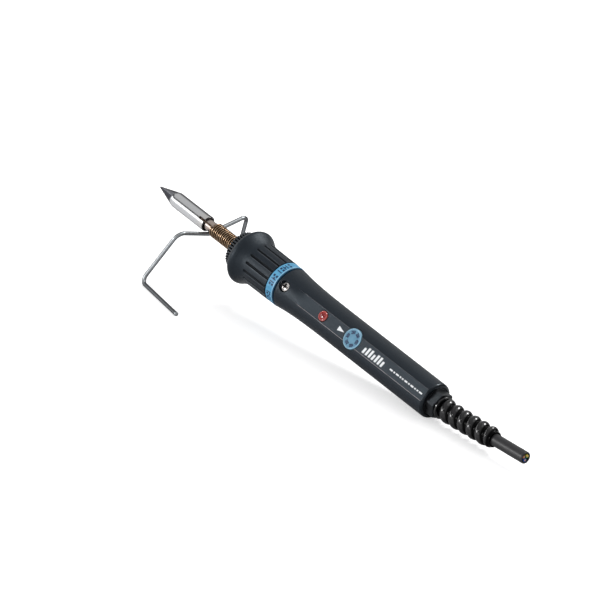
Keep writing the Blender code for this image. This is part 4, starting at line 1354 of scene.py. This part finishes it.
# ------------------------------------------------------------------ cord
def along_cord(rows, n, oy=0.0, oz=0.0, closed=True):
    """Rings of rows (station, radius) square to the bent line; oy and oz shift their centres."""
    s = np.array([s for s, _ in rows], float)[:, None]
    r = np.array([np.full(n, r) for _, r in rows], float)
    t = around(n)[None, :]
    bend = BEND_END - BEND_START
    lift = RISE * (np.clip(s, BEND_START, BEND_END) - BEND_START) ** 2 / (2 * bend)
    lift = lift + RISE * np.clip(s - BEND_END, 0.0, None)
    tilt = np.arctan(RISE * np.clip((s - BEND_START) / bend, 0.0, 1.0))
    a, b = oy + r * np.sin(t), oz + r * np.cos(t)
    up = a * UP_Y + b * UP_Z
    shift = lift - up * (1.0 - np.cos(tilt))
    verts = to_world(s - up * np.sin(tilt), a + shift * UP_Y, b + shift * UP_Z)
    return verts, grid_faces(len(rows), n, closed)


def bend_protector():
    pitch, start, end, first_crest = 6.45, 231.3, 268.9, 240.9
    bore_r, n = 3.5, 96

    def ridge(s, t):
        """One helical rib, round on its crest and wider than the valley between its turns."""
        run = (end - s) / (end - start)
        crest, valley = 5.62 + 0.36 * run, 4.2 + 0.32 * run
        phase = ((s - first_crest + pitch * (t / TAU)) / pitch + 0.5) % 1.0 - 0.5
        swell = np.clip((0.40 - np.abs(phase)) / 0.40, 0.0, 1.0)
        swell = np.sin(swell * math.pi / 2) ** 0.62
        fade_in = smooth(np.clip((s - 231.2) / 1.3, 0.0, 1.0))
        fade_out = smooth(np.clip((end - 0.35 - s) / 2.4, 0.0, 1.0))
        return valley + (crest - valley) * swell * fade_in * fade_out

    flange = [  # station, r, corner rounding
        (221.4, bore_r), (221.4, 4.9, 0.2), (229.68, 4.9, 0.1), (229.7, 6.0, 0.05),
        (229.85, 6.2, 0.2), (230.75, 6.2, 0.25), (231.0, 5.5, 0.3), (start, 4.55),
    ]  # fmt: skip
    rows = soften(flange, n=3)[1:]
    rows += [(s, ridge(s, around(n))) for s in np.arange(start + 0.2, end - 0.3, 0.2)]
    rows += [(end - 0.25, 4.22), (end - 0.06, 4.12), (end, 3.95), (end, bore_r)]
    rows += [(s, bore_r) for s in np.arange(266.0, 222.0, -4.0)] + [(221.4, bore_r)]
    shape = along_cord(rows, n)
    rebuilt("bend_protector", shape, RUBBER, "iron", "black_rubber", sharp=45.0)


def cord_sheath():
    start, end, outer_r, inner_r = 214.0, 291.1, 3.2, 2.45
    rows = [(start, outer_r)] + [(s, outer_r) for s in np.arange(215.2, 290.6, 1.5)]
    rows += [(290.9, outer_r), (291.05, 3.12), (end, 2.98), (end, inner_r)]
    rows += [(s, inner_r) for s in np.arange(289.0, 215.0, -3.0)] + [(start, inner_r)]
    rebuilt("cord_sheath", along_cord(rows, 56), CORD, "iron", "cord_rubber")


def cores():
    """Three insulated cores; in each, one copper strand in the middle and six round it."""
    offset, bore_r, strand_offset, strand_r = 1.25, 0.55, 0.34, 0.165
    core = [(212.5, bore_r), (212.5, 0.9)] + [(s, 0.92) for s in np.arange(213.0, 290.6, 2.5)]
    core += [(290.95, 0.92), (291.05, 0.86), (291.05, bore_r)]
    core += [(s, bore_r) for s in (290.6, 250.0, 213.0)]
    strand = [(212.6, 0.0), (212.6, 0.16)]
    strand += [(s, strand_r) for s in np.arange(214.0, 290.7, 6.0)]
    strand += [(291.0, strand_r), (291.03, 0.0)]
    stations = np.array([s for s, _ in strand])[:, None]
    strands = []
    for k, (name, material, slot) in enumerate(
        (
            ("live_core", BROWN, "core_brown"),
            ("neutral_core", BLUE_CORE, "core_blue"),
            ("earth_core", GREEN_YELLOW, "core_green_yellow"),
        )
    ):
        a = math.pi / 2 + TAU * k / 3
        oy, oz = offset * math.cos(a), offset * math.sin(a)
        rebuilt(name, along_cord(core, 24, oy, oz), material, "iron", slot)
        for q in range(7):
            out, angle = (strand_offset, q * TAU / 6) if q else (0.0, 0.0)
            twist = angle + stations * 0.12
            strand_y, strand_z = oy + out * np.sin(twist), oz + out * np.cos(twist)
            strands.append(along_cord(strand, 10, strand_y, strand_z, closed=False))
    piece("copper_strands", merge(strands), COPPER, "iron")


# ------------------------------------------------------------------ bent-wire rest
def rest_corners():
    """Row-frame corners in mm, from x along the iron, row y, and depth below the tool axis."""
    origin = ORIGIN * 1000.0
    above = np.array([math.sin(INCLINE), 0.0, math.cos(INCLINE)])

    def on_floor(x, y):
        return (x, y, (origin[2] - x * math.sin(INCLINE) - 1.0) / math.cos(INCLINE))

    def in_row(corner):
        x, y, depth = corner
        point = origin + ALONG * x - above * depth
        return np.array([point[0], y, point[2]])

    heel_x, heel_y, toe_x, toe_y = 33.0, 32.0, 73.5, 41.6
    side_x = 41.7
    return [
        in_row(corner)
        for corner in (
            on_floor(toe_x, -toe_y),
            on_floor(heel_x, -heel_y),
            (side_x, -21.8, 0.0),
            (side_x, 0.0, 4.56),
            (side_x, 24.4, -1.75),
            on_floor(heel_x, heel_y),
            on_floor(toe_x, toe_y),
        )
    ]


def straight(a, b):
    """Points from a up to but not including b, about 1.6 mm apart."""
    n = max(1, int(np.linalg.norm(b - a) / 1.6))
    return [a + (b - a) * k / n for k in range(n)]


def wire_rest():
    corners = rest_corners()
    bend_radii = [3.4, 5.0, 3.2, 4.0, 3.4]
    wire = []
    last = corners[0]
    for before, corner, after, radius in zip(corners, corners[1:], corners[2:], bend_radii):
        a = (before - corner) / np.linalg.norm(before - corner)
        b = (after - corner) / np.linalg.norm(after - corner)
        half = math.acos(max(-1.0, min(1.0, float(a @ b)))) / 2
        reach = radius / math.tan(half)
        start, end = corner + a * reach, corner + b * reach
        wire += straight(last, start)
        # a rational quadratic curve makes the bend a true arc
        weight = math.sin(half)
        for k in range(13):
            u = k / 12.0
            middle = 2 * weight * u * (1 - u)
            total = (1 - u) ** 2 + middle + u * u
            wire.append(((1 - u) ** 2 * start + middle * corner + u * u * end) / total)
        last = end
    wire = np.array(wire + straight(last, corners[-1]) + [corners[-1]])
    gaps = np.linalg.norm(np.diff(wire, axis=0), axis=1)
    wire = wire[np.concatenate([[True], gaps > 0.02])]
    # the rounded cut ends stay inside the wire's length
    for end, neighbour in ((0, 1), (-1, -2)):
        inward = wire[neighbour] - wire[end]
        wire[end] += inward / np.linalg.norm(inward) * 0.3
    verts, faces = sweep(wire * MM, 0.0011, ring=20, end_reach=0.0003)
    verts[:, 2] = np.maximum(verts[:, 2], 0.0)  # the wire is flattened where it meets the floor
    rebuilt("wire_rest", (verts, faces), ZINC, "rest", "zinc_wire", sharp=40.0)


# ------------------------------------------------------------------ CAD nodes that stay
KEPT_NODES = {
    "heater_core": CERAMIC,
    "heater_bush": CERAMIC,
    "heater_lead_a": SILICONE,
    "heater_lead_b": SILICONE,
    "earth_lead": GREEN_YELLOW,
    "circuit_board": LAMINATE,
    "potentiometer_body": EPOXY,
    "potentiometer_shaft": NICKEL,
    "indicator_led": LED_RED,
    "control_chip": EPOXY,
    "triac": EPOXY,
    "capacitor": CAP_BLUE,
    "drop_resistor": TAN,
    "terminal_block": TERMINAL,
    "cable_clamp": TERMINAL,
    "clamp_screw_a": NICKEL,
    "clamp_screw_b": NICKEL,
}


def paint_kept_nodes():
    for name, material in KEPT_NODES.items():
        obj = frame["nodes"][name]
        for slot in obj.material_slots:
            slot.link = "DATA"
            slot.material = material
        if not obj.material_slots:
            obj.data.materials.append(material)


# ------------------------------------------------------------------ studio, in row-frame metres
def studio_floor():
    """A pale disc, brighter to the camera than to the light it bounces."""
    m = Material("studio_floor", tool_space=False)
    point = field(m.tree, "ShaderNodeTexCoord", output="Object")
    mottle = noise(point, scale=30.0)
    seen = field(m.tree, "ShaderNodeLightPath", output="Is Camera Ray")
    pale = mix(mottle, (0.86, 0.86, 0.865), (0.88, 0.88, 0.885))
    m.set(
        Base_Color=mix(seen, (0.66, 0.66, 0.668), pale),
        Emission_Color=(1.0, 1.0, 1.0),
        Emission_Strength=seen * 0.50,
        Roughness=0.9,
        Specular_IOR_Level=0.1,
    )
    bm = bmesh.new()
    bmesh.ops.create_circle(bm, cap_ends=True, segments=96, radius=14.0)
    bmesh.ops.translate(bm, verts=bm.verts, vec=(0.0, 0.0, -0.00004))
    mesh = bpy.data.meshes.new("floor")
    bm.to_mesh(mesh)
    bm.free()
    floor = bpy.data.objects.new("floor", mesh)
    bpy.context.scene.collection.objects.link(floor)
    floor.data.materials.append(m.data)


def studio_world():
    """A broad dome with a bright card to the camera's left and a dark flag on each side."""
    world = bpy.data.worlds.new("studio")
    bpy.context.scene.world = world
    world.use_nodes = True
    tree = world.node_tree
    tree.nodes.clear()
    direction = field(tree, "ShaderNodeTexCoord", output="Generated")
    height = field(tree, "ShaderNodeSeparateXYZ", {0: direction}, output=2)
    left = vector_maths("DOT_PRODUCT", direction, (-0.66, -0.75, 0.0), output="Value")
    sky = ramp(height, over=(-0.05, 0.95), to=(0.46, 0.60), smooth=False)
    card = ramp(height, over=(0.44, 0.50), to=FALL) * ramp(left, over=(0.35, 0.62))
    sky = blend(card, sky, 1.7)
    # the left flag is a thin slanted band that gives polished metal an edge to show
    off_band = abs(height - (0.29 + left * 0.255))
    left_flag = ramp(off_band, over=(0.115, 0.160), to=FALL) * ramp(left, over=(0.25, 0.5))
    right_flag = ramp(height, over=(0.26, 0.34), to=FALL) * ramp(left, over=(-0.15, -0.45))
    sky = blend(left_flag, sky, 0.09)
    sky = blend(right_flag * 0.85, sky, 0.06)
    # the camera itself sees plain white
    seen = field(tree, "ShaderNodeLightPath", output="Is Camera Ray")
    sky = blend(seen, sky, 1.0)
    background = field(tree, "ShaderNodeBackground", {0: (1.0, 1.0, 1.0, 1.0), 1: sky})
    node(tree, "ShaderNodeOutputWorld", {0: background})


SOFTBOXES = [  # name, place, aim, size, watts
    ("key_softbox", (0.35, 0.35, 1.4), (0.0, 0.0, 0.02), (0.9, 0.9), 2.0),
    ("side_softbox", (-0.57, -1.12, 0.31), (-0.02, 0.0, 0.02), (0.3, 0.22), 6.0),
    ("back_softbox", (0.13, 0.90, 1.07), (-0.06, 0.0, 0.03), (0.4, 0.4), 11.0),
    ("small_softbox", (0.0, -1.05, 0.76), (0.05, 0.0, 0.02), (0.12, 0.12), 0.5),
]


def studio_lights():
    for name, place, aim, size, watts in SOFTBOXES:
        light = bpy.data.lights.new(name, "AREA")
        light.shape = "RECTANGLE"
        light.size, light.size_y = size
        light.energy = watts
        obj = bpy.data.objects.new(name, light)
        bpy.context.scene.collection.objects.link(obj)
        obj.location = place
        obj.rotation_mode = "QUATERNION"
        obj.rotation_quaternion = (Vector(aim) - Vector(place)).to_track_quat("-Z", "Y")


def studio_camera():
    data = bpy.data.cameras.new("camera")
    data.sensor_width = 36.0
    data.lens = 351.0
    data.clip_start, data.clip_end = 0.05, 40.0
    camera = bpy.data.objects.new("camera", data)
    bpy.context.scene.collection.objects.link(camera)
    right = Vector((0.64299, 0.75550, 0.12667)).normalized()
    back = Vector((0.66454, -0.63237, 0.39860)).normalized()
    up = back.cross(right).normalized()
    pose = Matrix.Identity(4)
    for i in range(3):
        pose[i][0], pose[i][1], pose[i][2] = right[i], up[i], back[i]
    pose.translation = Vector((1.95228, -1.88546, 1.20883))
    camera.matrix_world = pose
    scene = bpy.context.scene
    scene.camera = camera
    scene.view_settings.view_transform = "Standard"
    scene.view_settings.look = "None"


# ------------------------------------------------------------------ build
soldering_tip()
heater_tube()
tip_spring()
ring_nut()
front_collar()
marker_ring()
ring_marks()
handle_shell()
fixing_screw()
indicator_lens()
temperature_dial()
dial_numbers()
pointer_triangle()
strip_bars()
strip_dashes()
end_bushing()
bend_protector()
cord_sheath()
cores()
wire_rest()
paint_kept_nodes()
studio_floor()
studio_world()
studio_lights()
studio_camera()
